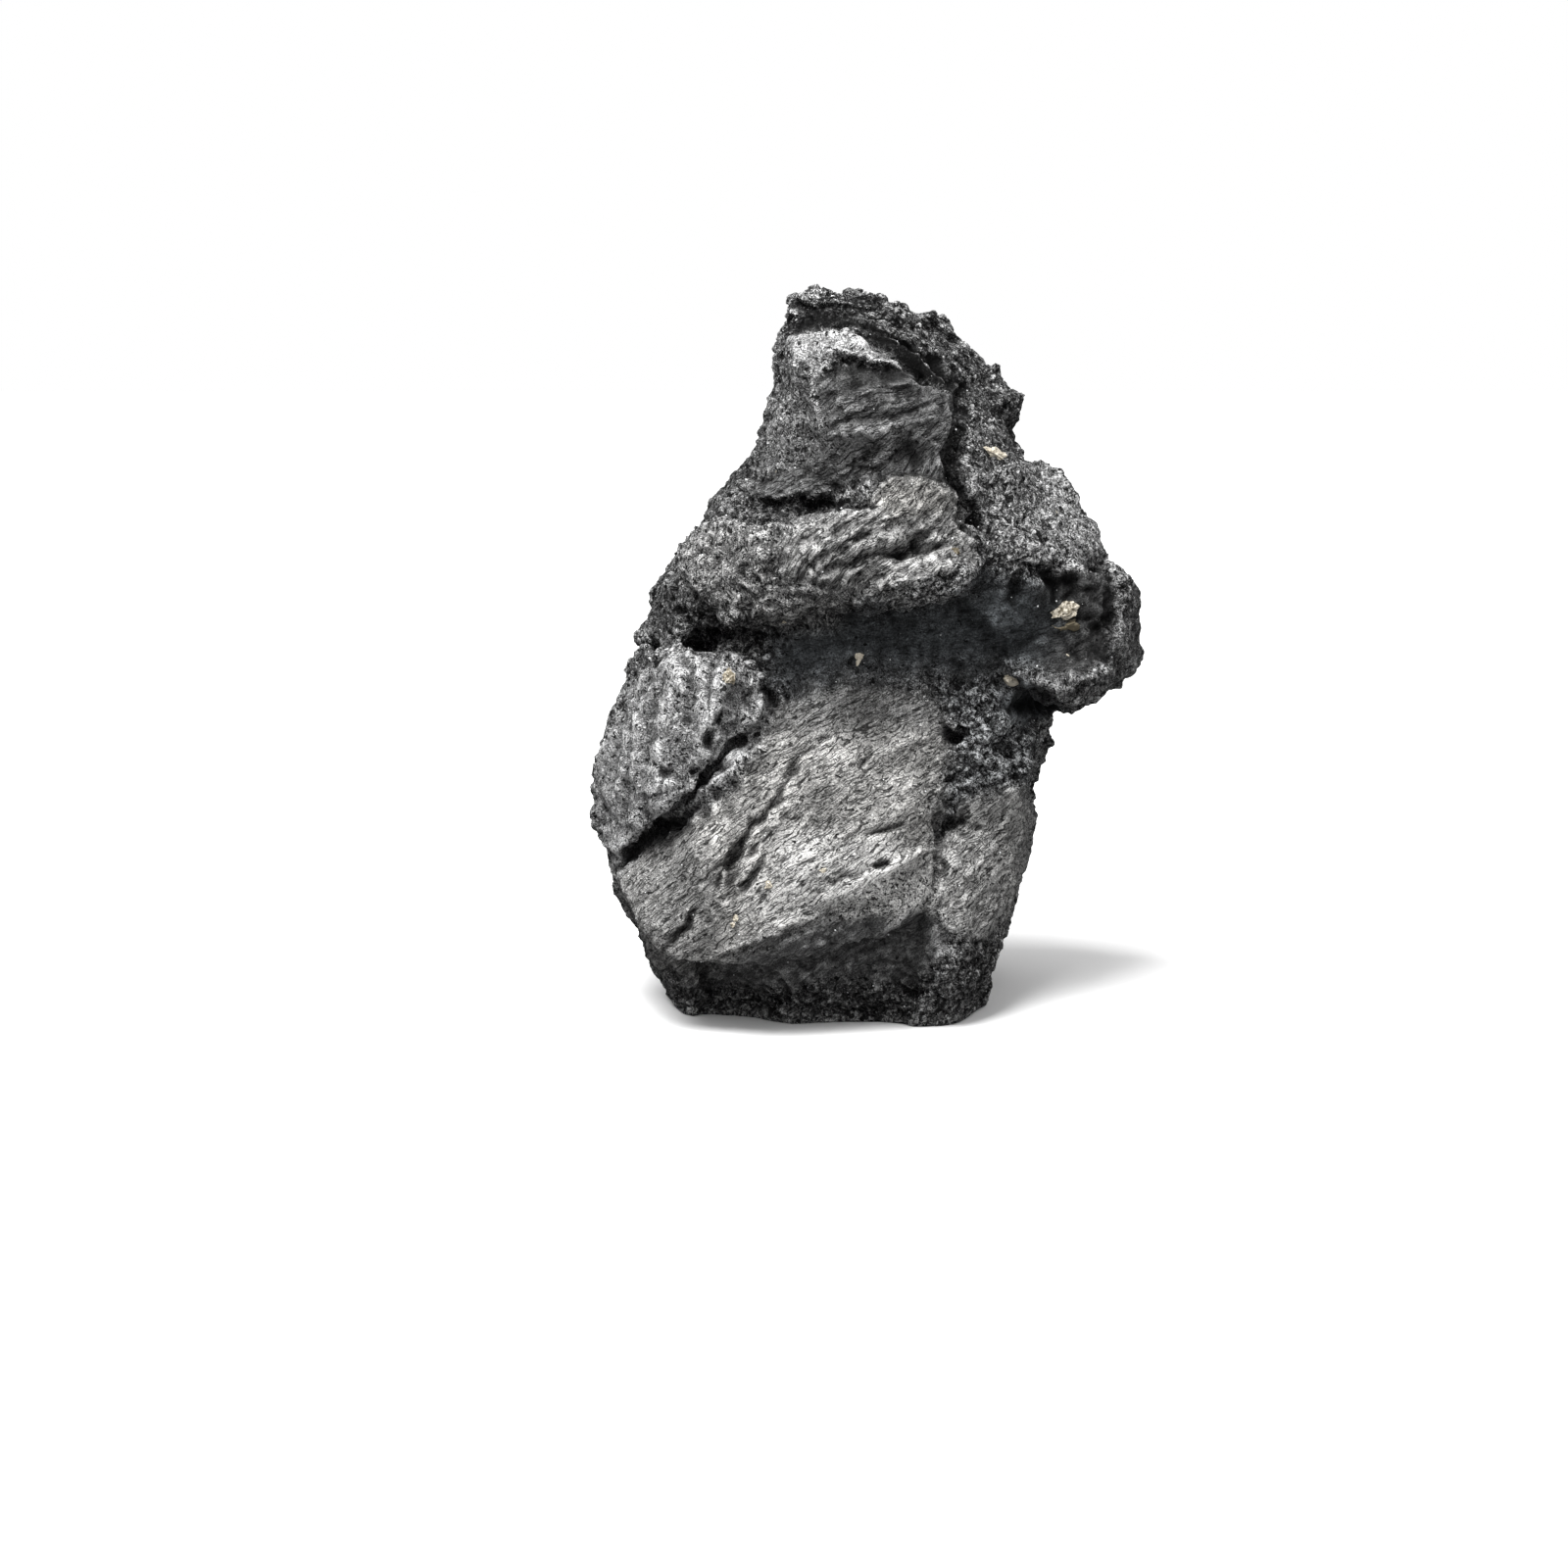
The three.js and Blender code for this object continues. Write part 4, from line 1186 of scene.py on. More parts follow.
    def relief_tree(self) -> bpy.types.NodeTree:
        """Builds the tree that moves the surface along its broad normals, pore by pore.

        Returns:
            The tree.
        """
        tree = bpy.data.node_groups.new("vesicular_relief", "GeometryNodeTree")
        new_socket(tree, "Geometry", "NodeSocketGeometry")
        names = ("Pore Size", "Pore Depth", "Small Pore Size", "Small Pore Depth", "Crust", "Chip Size",
                 "Chip Depth", "Streak Spacing", "Streak Length", "Streak Depth", "Streak Swell", "Seed")
        for name in names:
            new_socket(tree, name, "NodeSocketFloat", value=1.0)
        new_socket(tree, "Geometry", "NodeSocketGeometry", output=True)
        wire = Wiring(tree)
        given = wire.inputs()

        def attribute(name: str, kind: str = "FLOAT") -> bpy.types.NodeSocket:
            """Reads what the mesh keeps for each corner."""
            return wire.add("GeometryNodeInputNamedAttribute", {"Name": name}, data_type=kind).outputs[0]

        place = wire.add("GeometryNodeInputPosition").outputs[0]
        slow = wire.noise(place, self.slow_waves, 2.0, 0.5, given["Seed"]).outputs["Color"]
        fast = wire.noise(place, self.fast_waves, 1.0, 0.5, given["Seed"]).outputs["Color"]
        bent = wire.bend(place, slow, fast, self.pore_bend)

        big = self.pores(wire, bent, "Pore", self.closed)
        big = wire.math("MULTIPLY", big, attribute("cindery"))
        small = self.pores(wire, bent, "Small Pore", self.small_closed)
        finer, shallower = self.fine_chips
        coarse_chips = self.chips(wire, bent, given["Chip Size"], given["Chip Depth"])
        fine_chips = self.chips(wire, bent, wire.math("MULTIPLY", given["Chip Size"], finer),
                                wire.math("MULTIPLY", given["Chip Depth"], shallower))
        broken = wire.math("ADD", coarse_chips, fine_chips)
        broken = wire.math("MULTIPLY", broken, wire.ramp(attribute("cindery"), 0.0, 1.0, 0.25, 1.0))
        crust = wire.noise(bent, self.crust_waves, 3.0, 0.65, given["Seed"]).outputs[0]
        jagged = wire.math("MULTIPLY", wire.off_middle(crust), given["Crust"])
        holes = wire.math("ADD", wire.math("ADD", big, small), wire.math("ADD", jagged, broken))

        waved = wire.bend(attribute("flow", "FLOAT_VECTOR"), slow, fast, self.flow_bend)
        plates = self.plates(wire, waved, attribute("lumpy"))
        bands = wire.math("ADD", plates, wire.math("MULTIPLY", jagged, self.streaked_crust))

        sunk = wire.math("ADD", wire.math("MULTIPLY", holes, attribute("porous")),
                         wire.math("MULTIPLY", bands, attribute("streaked")))
        height = wire.add("ShaderNodeSeparateXYZ", {0: place}).outputs[2]
        kept = wire.math("MULTIPLY", sunk, wire.ramp(height, *self.foot_fade))
        inward = wire.scale(attribute("broad", "FLOAT_VECTOR"), wire.math("MULTIPLY", kept, -1.0))
        moved = wire.add("GeometryNodeSetPosition", {"Geometry": given["Geometry"], "Offset": inward})
        wire.finish(moved.outputs[0], self.finish)
        return tree

    @staticmethod
    def pores(wire: Wiring, place: bpy.types.NodeSocket, kind: str, closed: float) -> bpy.types.NodeSocket:
        """Adds one layer of round pores of varied size.

        Args:
            wire: the tree.
            place: where the surface is.
            kind: the start of the names of the inputs for their size and depth.
            closed: the share of the places for a pore that have none.

        Returns:
            How deep each place lies.
        """
        given = wire.inputs()
        cell = wire.cells(wire.scale(place, wire.math("DIVIDE", 1.0, given[f"{kind} Size"])), given["Seed"])
        radius = wire.ramp(wire.first(cell.outputs["Color"]), closed, 1.0, 0.06, 0.6)
        cup = wire.ramp(wire.math("DIVIDE", cell.outputs["Distance"], radius), 1.0, 0.35)
        return wire.math("MULTIPLY", wire.math("MULTIPLY", cup, radius), given[f"{kind} Depth"])

    @staticmethod
    def chips(wire: Wiring, place: bpy.types.NodeSocket, size: bpy.types.NodeSocket,
              depth: bpy.types.NodeSocket) -> bpy.types.NodeSocket:
        """Breaks the surface into facets, each tilted its own way.

        Args:
            wire: the tree.
            place: where the surface is.
            size: how wide the facets are.
            depth: how deep their edges lie.

        Returns:
            How deep each place lies.
        """
        shrunk = wire.scale(place, wire.math("DIVIDE", 1.0, size))
        cell = wire.cells(shrunk, wire.inputs()["Seed"])
        tilt = wire.apart(cell.outputs["Color"], (0.5, 0.5, 0.5))
        slope = wire.add("ShaderNodeVectorMath", {0: wire.apart(shrunk, cell.outputs["Position"]), 1: tilt},
                         operation="DOT_PRODUCT").outputs["Value"]
        step = wire.off_middle(wire.first(cell.outputs["Color"]))
        return wire.math("MULTIPLY", wire.math("ADD", wire.math("MULTIPLY", slope, 1.7), step), depth)

    @staticmethod
    def plates(wire: Wiring, flow: bpy.types.NodeSocket, lumpy: bpy.types.NodeSocket) -> bpy.types.NodeSocket:
        """Lays thin overlapping plates and slow swells along the flow.

        Args:
            wire: the tree.
            flow: the flow coordinates.
            lumpy: how lumpy each place is, which lifts the plates.

        Returns:
            How deep each place lies.
        """
        given = wire.inputs()
        stretch = wire.add("ShaderNodeCombineXYZ", {
            0: wire.math("DIVIDE", 1.0, given["Streak Spacing"]),
            1: wire.math("DIVIDE", 1.0, given["Streak Length"]), 2: 30.0}).outputs[0]
        laid = wire.multiply(flow, stretch)
        plate = wire.cells(laid, given["Seed"])
        rise = wire.first(wire.apart(laid, plate.outputs["Position"]))
        lift = wire.ramp(wire.first(plate.outputs["Color"]), 0.2, 0.9)
        lift = wire.math("MULTIPLY", lift, wire.ramp(lumpy, 0.1, 0.9, 0.8, 2.6))
        plates = wire.math("MULTIPLY", wire.math("MULTIPLY", rise, lift), given["Streak Depth"])
        swell = wire.noise(laid, 0.6, 3.0, 0.6, given["Seed"]).outputs[0]
        swells = wire.math("MULTIPLY", wire.math("SUBTRACT", 0.5, swell), given["Streak Swell"])
        return wire.math("ADD", plates, swells)

    def thin_out(self, stone: bpy.types.Object) -> None:
        """Takes faces away where the surface needs few, and lays the foot flat.

        Args:
            stone: the roughened stone.
        """
        stone.data.calc_loop_triangles()
        count = len(stone.data.loop_triangles)
        LOG.info("stone before thinning: %d triangles", count)
        if count > self.triangles:
            thin = stone.modifiers.new("thin", "DECIMATE")
            thin.ratio = self.triangles / count
            apply_modifiers(stone)
        surface = Surface(stone.data)
        height = surface.points[:, 2]
        surface.points[:, 2] = np.where(height < self.foot_step, 0.0, height)
        surface.write()

    def mark(self, stone: bpy.types.Object) -> None:
        """Keeps on the mesh what the finish reads: the marks with their painted shade, and how sunk or raised
        each place is.

        Args:
            stone: the thinned stone.
        """
        surface = Surface(stone.data)
        broad = surface.broad_normals(16)
        marks = Marks.of(surface.points, broad, self.noise)
        # painted shade: the tone is darkened in the named cuts, the deeper the darker
        cut = np.clip(-carved(surface.points, broad, self.noise), 0.0, self.darkest_cut)
        marks.tone -= self.shade * cut / self.darkest_cut
        for name in ("cindery", "porous", "streaked", "tone", "warm", "cool", "flow"):
            surface.store(name, getattr(marks, name))
        # how sunk each place is at three sizes, which the finish turns into painted shade where sunk and
        # painted highlight where raised
        for name, passes in (("pit", 2), ("dip", 12), ("hollow", 60)):
            sunk = surface.sunk(passes)
            surface.store(name, np.clip(sunk / sunk.std(), -2.5, 2.5))
        stone.data.polygons.foreach_set("use_smooth", np.ones(len(stone.data.polygons), bool))


@dataclass(frozen=True)
class LavaFinish:
    """The stone's finish: dark grey rock with near-black pores, painted shade in all that is sunk, and paler
    dust with painted highlight on all that stands out.
    """

    # the share of light that it sends back where nothing darkens it, and the least and the most of it
    base: float = 0.167
    darkest: float = 0.003
    palest: float = 0.62
    neutral: Colour = (1.0, 1.0, 1.0)
    warm_tint: Colour = (1.07, 1.0, 0.87)
    cool_tint: Colour = (0.84, 0.99, 1.1)
    roughness: float = 0.84
    specular: float = 0.08
    wrinkle_scale: float = 600.0
    grain_scale: float = 1900.0

    @staticmethod
    def crust_group() -> bpy.types.NodeTree:
        """Builds the group for the crust: thin curled wrinkles, pores, the rims of both, and grain.

        Returns:
            The group.
        """
        tree = bpy.data.node_groups.new("wrinkled_crust", "ShaderNodeTree")
        new_socket(tree, "Vector", "NodeSocketVector")
        new_socket(tree, "Scale", "NodeSocketFloat", value=430.0)
        new_socket(tree, "Openness", "NodeSocketFloat", value=0.5)
        new_socket(tree, "Grain Scale", "NodeSocketFloat", value=1900.0)
        for name in ("Wrinkles", "Pores", "Rims", "Grain"):
            new_socket(tree, name, "NodeSocketFloat", output=True)
        wire = Wiring(tree)
        given = wire.inputs()
        scaled = wire.scale(given["Vector"], given["Scale"])
        slow = wire.noise(scaled, 0.55, 1.0).outputs["Color"]
        fast = wire.noise(scaled, 2.4, 1.0).outputs["Color"]
        bent = wire.bend(scaled, slow, fast, (2.6, 0.55))
        coarse = wire.noise(bent, 1.0, 1.0, 0.5, 2.0).outputs[0]
        fine = wire.noise(bent, 2.1, 1.0, 0.5, 5.0).outputs[0]
        off_coarse = wire.math("ABSOLUTE", wire.off_middle(coarse))
        off_fine = wire.math("ABSOLUTE", wire.off_middle(fine))
        parted = wire.first(slow)
        wrinkles = wire.math("MAXIMUM", wire.math("MULTIPLY", wire.ramp(off_coarse, 0.01, 0.05, 1.0, 0.0),
                                                  wire.ramp(parted, 0.46, 0.52)),
                             wire.math("MULTIPLY", wire.ramp(off_fine, 0.01, 0.07, 0.8, 0.0),
                                       wire.ramp(parted, 0.55, 0.49)))
        level = wire.ramp(given["Openness"], 0.0, 1.0, 0.28, 0.43)
        pores = wire.math("MAXIMUM", wire.ramp(wire.math("SUBTRACT", coarse, level), 0.0, -0.03),
                          wire.ramp(wire.math("SUBTRACT", fine, level), 0.0, -0.03))
        rims = wire.math("MULTIPLY", wire.ramp(off_fine, 0.07, 0.1), wire.ramp(off_coarse, 0.04, 0.08))
        grain = wire.noise(wire.scale(given["Vector"], given["Grain Scale"]), 1.0, 2.0, 0.7).outputs[0]
        grain = wire.math("MULTIPLY", wire.off_middle(grain), 5.0)
        wire.add("NodeGroupOutput", {"Wrinkles": wrinkles, "Pores": pores, "Rims": rims, "Grain": grain})
        return tree

    @staticmethod
    def streak_group() -> bpy.types.NodeTree:
        """Builds the group for the flow: thin cracks along it, short and broken, and the ridges between.

        Returns:
            The group.
        """
        tree = bpy.data.node_groups.new("flow_streaks", "ShaderNodeTree")
        new_socket(tree, "Flow", "NodeSocketVector")
        new_socket(tree, "Spacing", "NodeSocketFloat", value=1.7 * MM)
        new_socket(tree, "Length", "NodeSocketFloat", value=10 * MM)
        for name in ("Cracks", "Ridges"):
            new_socket(tree, name, "NodeSocketFloat", output=True)
        wire = Wiring(tree)
        given = wire.inputs()
        slow = wire.noise(given["Flow"], 170.0, 1.0).outputs["Color"]
        fast = wire.noise(given["Flow"], 1000.0, 1.0).outputs["Color"]
        bent = wire.bend(given["Flow"], slow, fast, (3.0 * MM, 0.4 * MM))
        across = wire.math("DIVIDE", 1.0, given["Spacing"])
        along = wire.math("DIVIDE", 1.0, given["Length"])
        stretch = wire.add("ShaderNodeCombineXYZ", {0: across, 1: along, 2: 200.0}).outputs[0]
        laid = wire.multiply(bent, stretch)
        coarse = wire.noise(laid, 1.0, 1.0, 0.5, 1.0).outputs[0]
        fine = wire.noise(laid, 2.3, 1.0, 0.5, 6.0).outputs[0]
        broken = wire.noise(given["Flow"], 180.0, 3.0, 0.65).outputs[0]
        deep = wire.ramp(wire.math("ABSOLUTE", wire.off_middle(coarse)), 0.005, 0.045, 1.0, 0.0)
        thin = wire.ramp(wire.math("ABSOLUTE", wire.off_middle(fine)), 0.01, 0.07, 0.75, 0.0)
        deep = wire.math("MULTIPLY", deep, wire.ramp(broken, 0.48, 0.55))
        thin = wire.math("MULTIPLY", thin, wire.ramp(broken, 0.56, 0.46))
        cracks = wire.math("MAXIMUM", deep, thin)
        ridges = wire.math("ADD", wire.math("MULTIPLY", wire.off_middle(coarse), 3.0),
                           wire.math("MULTIPLY", wire.off_middle(fine), 2.5))
        wire.add("NodeGroupOutput", {"Cracks": cracks, "Ridges": ridges})
        return tree

    def material(self) -> bpy.types.Material:
        """Makes the material.

        Returns:
            The material.
        """
        made = bpy.data.materials.new("lava")
        made.use_nodes = True
        wire = Wiring(made.node_tree)
        shader = made.node_tree.nodes["Principled BSDF"]

        def attribute(name: str, output: str = "Fac") -> bpy.types.NodeSocket:
            """Reads what the mesh keeps for each corner."""
            return wire.add("ShaderNodeAttribute", attribute_name=name).outputs[output]

        def total(*parts: tuple[object, object]) -> bpy.types.NodeSocket:
            """Adds up values.

            Args:
                parts: each value and its weight.

            Returns:
                The sum.
            """
            result = wire.math("MULTIPLY", *parts[0])
            for value, weight in parts[1:]:
                result = wire.add("ShaderNodeMath", {0: value, 1: weight, 2: result},
                                  operation="MULTIPLY_ADD").outputs[0]
            return result

        place = wire.add("ShaderNodeTexCoord").outputs["Object"]
        porous = attribute("porous")
        streaked = attribute("streaked")
        crust = self.use(wire, self.crust_group(), {
            "Vector": place, "Scale": self.wrinkle_scale, "Openness": porous,
            "Grain Scale": self.grain_scale}).outputs
        streaks = self.use(wire, self.streak_group(), {"Flow": attribute("flow", "Vector")}).outputs
        patches = wire.off_middle(wire.noise(place, 90.0, 3.0, 0.6).outputs[0])
        open_cracks = wire.math("MULTIPLY", streaks["Cracks"], streaked)
        ridges = wire.math("MULTIPLY", streaks["Ridges"], streaked)
        wrinkled = wire.ramp(porous, 0.1, 0.9, 0.05, 1.0)
        wrinkles = wire.math("MULTIPLY", crust["Wrinkles"], wrinkled)
        rims = wire.math("MULTIPLY", crust["Rims"], wrinkled)
        grain = crust["Grain"]

        signal = total(
            # the tone carries the regions' painted shade and painted light and the painted shade in cuts
            (attribute("tone"), 1.0),
            (patches, 0.7),
            (rims, 0.3),
            (grain, 0.85),
            (wire.math("MULTIPLY", grain, porous), 0.35),
            (ridges, 0.25),
            (wrinkles, -1.9),
            (crust["Pores"], -2.8),
            (open_cracks, -2.1),
            # painted shade where pits, dips and hollows are sunk, and painted highlight where they stand out
            (attribute("pit"), -0.25),
            (attribute("dip"), -0.2),
            (attribute("hollow"), -0.12),
        )
        level = wire.math("MULTIPLY", wire.math("EXPONENT", signal), self.base)
        level = wire.math("MINIMUM", wire.math("MAXIMUM", level, self.darkest), self.palest)
        tint = wire.blend(attribute("warm"), (*self.neutral, 1.0), (*self.warm_tint, 1.0))
        tint = wire.blend(attribute("cool"), tint, (*self.cool_tint, 1.0))
        made.node_tree.links.new(wire.scale(tint, level), shader.inputs["Base Color"])

        height = total(
            (rims, 0.2),
            (grain, 0.13),
            (wrinkles, -0.35),
            (crust["Pores"], -0.4),
            (open_cracks, -0.35),
            (ridges, 0.12),
        )
        bump = wire.add("ShaderNodeBump", {"Strength": 1.0, "Distance": MM, "Height": height})
        rough = wire.ramp(grain, -1.0, 1.0, self.roughness - 0.12, self.roughness + 0.1)
        made.node_tree.links.new(rough, shader.inputs["Roughness"])
        made.node_tree.links.new(bump.outputs[0], shader.inputs["Normal"])
        shader.inputs["Specular IOR Level"].default_value = self.specular
        return made

    @staticmethod
    def use(wire: Wiring, group: bpy.types.NodeTree, inputs: dict) -> bpy.types.Node:
        """Places a group in a material with its own values.

        Args:
            wire: the material's tree.
            group: the group.
            inputs: value or socket for each input, by its name.

        Returns:
            The group's node.
        """
        node = wire.add("ShaderNodeGroup", node_tree=group)
        for name, value in inputs.items():
            if isinstance(value, bpy.types.NodeSocket):
                wire.tree.links.new(value, node.inputs[name])
            else:
                node.inputs[name].default_value = value
        return node


@dataclass(frozen=True)
class MineralFinish:
    """Pale fragments grown into the stone: cream, turned dark brown as far as the mesh says."""

    cream: Colour = (0.58, 0.53, 0.44)
    brown: Colour = (0.1, 0.082, 0.05)
    roughness: float = 0.6

    def material(self) -> bpy.types.Material:
        """Makes the material.

        Returns:
            The material.
        """
        made = bpy.data.materials.new("pale_mineral")
        made.use_nodes = True
        wire = Wiring(made.node_tree)
        shader = made.node_tree.nodes["Principled BSDF"]
        place = wire.add("ShaderNodeTexCoord").outputs["Object"]
        browning = wire.add("ShaderNodeAttribute", attribute_name="browning").outputs["Fac"]
        flecks = wire.noise(place, 900.0, 4.0, 0.7).outputs[0]
        share = wire.ramp(wire.math("ADD", flecks, wire.math("MULTIPLY", browning, 0.3)), 0.5, 0.66)
        colour = wire.blend(share, (*self.cream, 1.0), (*self.brown, 1.0))
        made.node_tree.links.new(colour, shader.inputs["Base Color"])
        grain = wire.noise(place, 1500.0, 3.0, 0.6).outputs[0]
        bump = wire.add("ShaderNodeBump", {"Strength": 1.0, "Distance": 0.3 * MM, "Height": grain})
        made.node_tree.links.new(bump.outputs[0], shader.inputs["Normal"])
        shader.inputs["Roughness"].default_value = self.roughness
        return made


@dataclass(frozen=True)
class Fragment:
    """One pale fragment: its pixel, its width and height in pixels, its slant and how far it is turned dark
    brown.
    """

    pixel: Pixel
    width: float
    height: float
    slant: float = 0.0
    browning: float = 0.0


FRAGMENTS = (
    Fragment((1020, 466), 36, 13, -3.0),
    Fragment((1084, 626), 27, 15, 18.0, 0.25),
    # set in the knob's shaded hollow, this one is turned dark brown as painted shade
    Fragment((1090, 638), 26, 14, 12.0, 0.9),
    Fragment((1030, 690), 23, 20, 40.0),
    Fragment((877, 672), 9, 17, -12.0, 0.1),
    Fragment((784, 902), 8, 9, 30.0, 0.1),
    Fragment((751, 936), 7, 9, -30.0, 0.15),
    Fragment((748, 944), 8, 6, 20.0, 0.1),
    Fragment((841, 888), 7, 6, 10.0),
    Fragment((744, 690), 13, 15, 20.0, 0.45),
    Fragment((800, 635), 8, 5, 20.0, 0.2),
    Fragment((1089, 668), 8, 3, -20.0, 0.1),
    Fragment((1078, 522), 5, 4, 0.0),
    Fragment((792, 481), 5, 5, 0.0, 0.3),
    Fragment((975, 562), 11, 9, -30.0, 0.75),
)


@dataclass
class Fragments:
    """The pale fragments, each a cluster of rough chips sunk in the stone where the photograph shows it."""

    finish: bpy.types.Material
    # how thick a fragment is for its width, and how much of half of that is sunk
    thickness: float = 0.8
    sunk: float = 0.3
    # how much it lies in the surface instead of facing the viewer
    lean: float = 0.75
    # how far round it the surface is felt at least, in pixels
    least_reach: float = 5.0
    # fragments up to this many pixels wide are single chips
    single: float = 6.0
    chips: int = 5
    # the least and the most of the fragment that a chip takes up, and how much the chips overlap
    shares: tuple[float, float] = (0.5, 0.8)
    overlap: float = 1.25
    # a chip's flat cuts, how far from its middle they lie, and how rough it is between them
    cuts: int = 7
    cut_depths: tuple[float, float] = (0.35, 0.85)
    roughness: float = 0.7
    seed: int = 3

    def build(self, stone: bpy.types.Object) -> bpy.types.Object:
        """Makes all the chips as one mesh.

        Args:
            stone: the stone that carries them.

        Returns:
            The chips.
        """
        draw = np.random.default_rng(self.seed)
        tree = BVHTree.FromObject(stone, bpy.context.evaluated_depsgraph_get())
        chips = bmesh.new()
        browning = chips.verts.layers.float.new("browning")
        for fragment in FRAGMENTS:
            seat = self.seat(tree, fragment)
            if seat is None:
                LOG.warning("no stone behind pixel %s", fragment.pixel)
                continue
            self.add_fragment(chips, browning, fragment, *seat, draw)
        mesh = bpy.data.meshes.new("pale_fragments")
        chips.to_mesh(mesh)
        chips.free()
        mesh.materials.append(self.finish)
        return object_from(mesh, "pale_fragments")

    def seat(self, tree: BVHTree, fragment: Fragment) -> tuple[Vector, Vector] | None:
        """Finds where a fragment sits.

        Args:
            tree: the stone's surface.
            fragment: the fragment.

        Returns:
            The place on the stone and the direction out of the surface around it, or None beside the stone.
        """
        reach = max(fragment.width / 2, fragment.height / 2, self.least_reach)
        steps = ((0.0, 0.0), (-reach, 0.0), (reach, 0.0), (0.0, reach), (0.0, -reach))
        middle, left, right, low, high = (
            tree.ray_cast(Vector(VIEW.eye), VIEW.ray(np.add(fragment.pixel, step)))[0] for step in steps)
        if None in (middle, left, right, low, high):
            return None
        return middle, (right - left).cross(high - low).normalized()

    def add_fragment(self, chips: bmesh.types.BMesh, browning: object, fragment: Fragment, hit: Vector,
                     normal: Vector, draw: np.random.Generator) -> None:
        """Adds one fragment: a few rough chips side by side, flattened and turned to lie in the surface.

        Args:
            chips: the mesh that it is added to.
            browning: the mesh's layer for the stain.
            fragment: the fragment.
            hit: where it sits.
            normal: the direction out of the surface there.
            draw: the source of random numbers.
        """
        out = (normal * self.lean + Vector(-VIEW.forward) * (1.0 - self.lean)).normalized()
        right = Vector(VIEW.across)
        right = (right - right.dot(out) * out).normalized()
        right.rotate(Matrix.Rotation(math.radians(fragment.slant), 3, out))
        turn = Matrix((right, out.cross(right), out)).transposed()
        thin = min(fragment.width, fragment.height) * self.thickness
        half = np.array((fragment.width, fragment.height, thin)) * 0.5 * PIXEL
        hit = hit - out * float(half[2] * self.sunk)
        for _ in range(self.chips if fragment.width > self.single else 1):
            share = draw.uniform(*self.shares)
            middle = draw.uniform(-1.0, 1.0, 3) * (1.0 - share) * [1.0, 1.0, 0.5]
            self.add_chip(chips, browning, fragment.browning, lambda place: hit + turn @ Vector(
                (place * share * self.overlap + middle) * half), draw)

    def add_chip(self, chips: bmesh.types.BMesh, browning: object, browned: float,
                 laid: Callable[[np.ndarray], Vector], draw: np.random.Generator) -> None:
        """Adds one chip: a ball roughened by noise and cut by random planes.

        Args:
            chips: the mesh that it is added to.
            browning: the mesh's layer for the stain.
            browned: how stained it is, from 0 to 1.
            laid: turns a place on the ball into one on the stone.
            draw: the source of random numbers.
        """
        planes = draw.normal(size=(self.cuts, 3))
        planes /= np.linalg.norm(planes, axis=1)[:, None]
        depths = draw.uniform(*self.cut_depths, self.cuts)
        noise = Noise(self.seed)
        shift = draw.uniform(0.0, 9.0, 3)
        for vertex in bmesh.ops.create_icosphere(chips, subdivisions=3, radius=1.0)["verts"]:
            place = np.array(vertex.co)
            place *= 1.0 + self.roughness * noise.layered(place[None] + shift, 0.7, 2)[0]
            for plane, depth in zip(planes, depths):
                place -= max(place @ plane - depth, 0.0) * plane
            vertex.co = laid(place)
            vertex[browning] = browned


@dataclass(frozen=True)
class GlintFinish:
    """Tiny bright crystal faces, whose near-white colour is partly their own and partly a painted sparkle
    highlight.
    """

    # near white: the crystals' own colour and a painted sparkle highlight
    colour: Colour = (0.86, 0.87, 0.88)
    roughness: float = 0.18

    def material(self) -> bpy.types.Material:
        """Makes the material.

        Returns:
            The material.
        """
        made = bpy.data.materials.new("crystal_glint")
        made.use_nodes = True
        shader = made.node_tree.nodes["Principled BSDF"]
        shader.inputs["Base Color"].default_value = (*self.colour, 1.0)
        shader.inputs["Roughness"].default_value = self.roughness
        return made


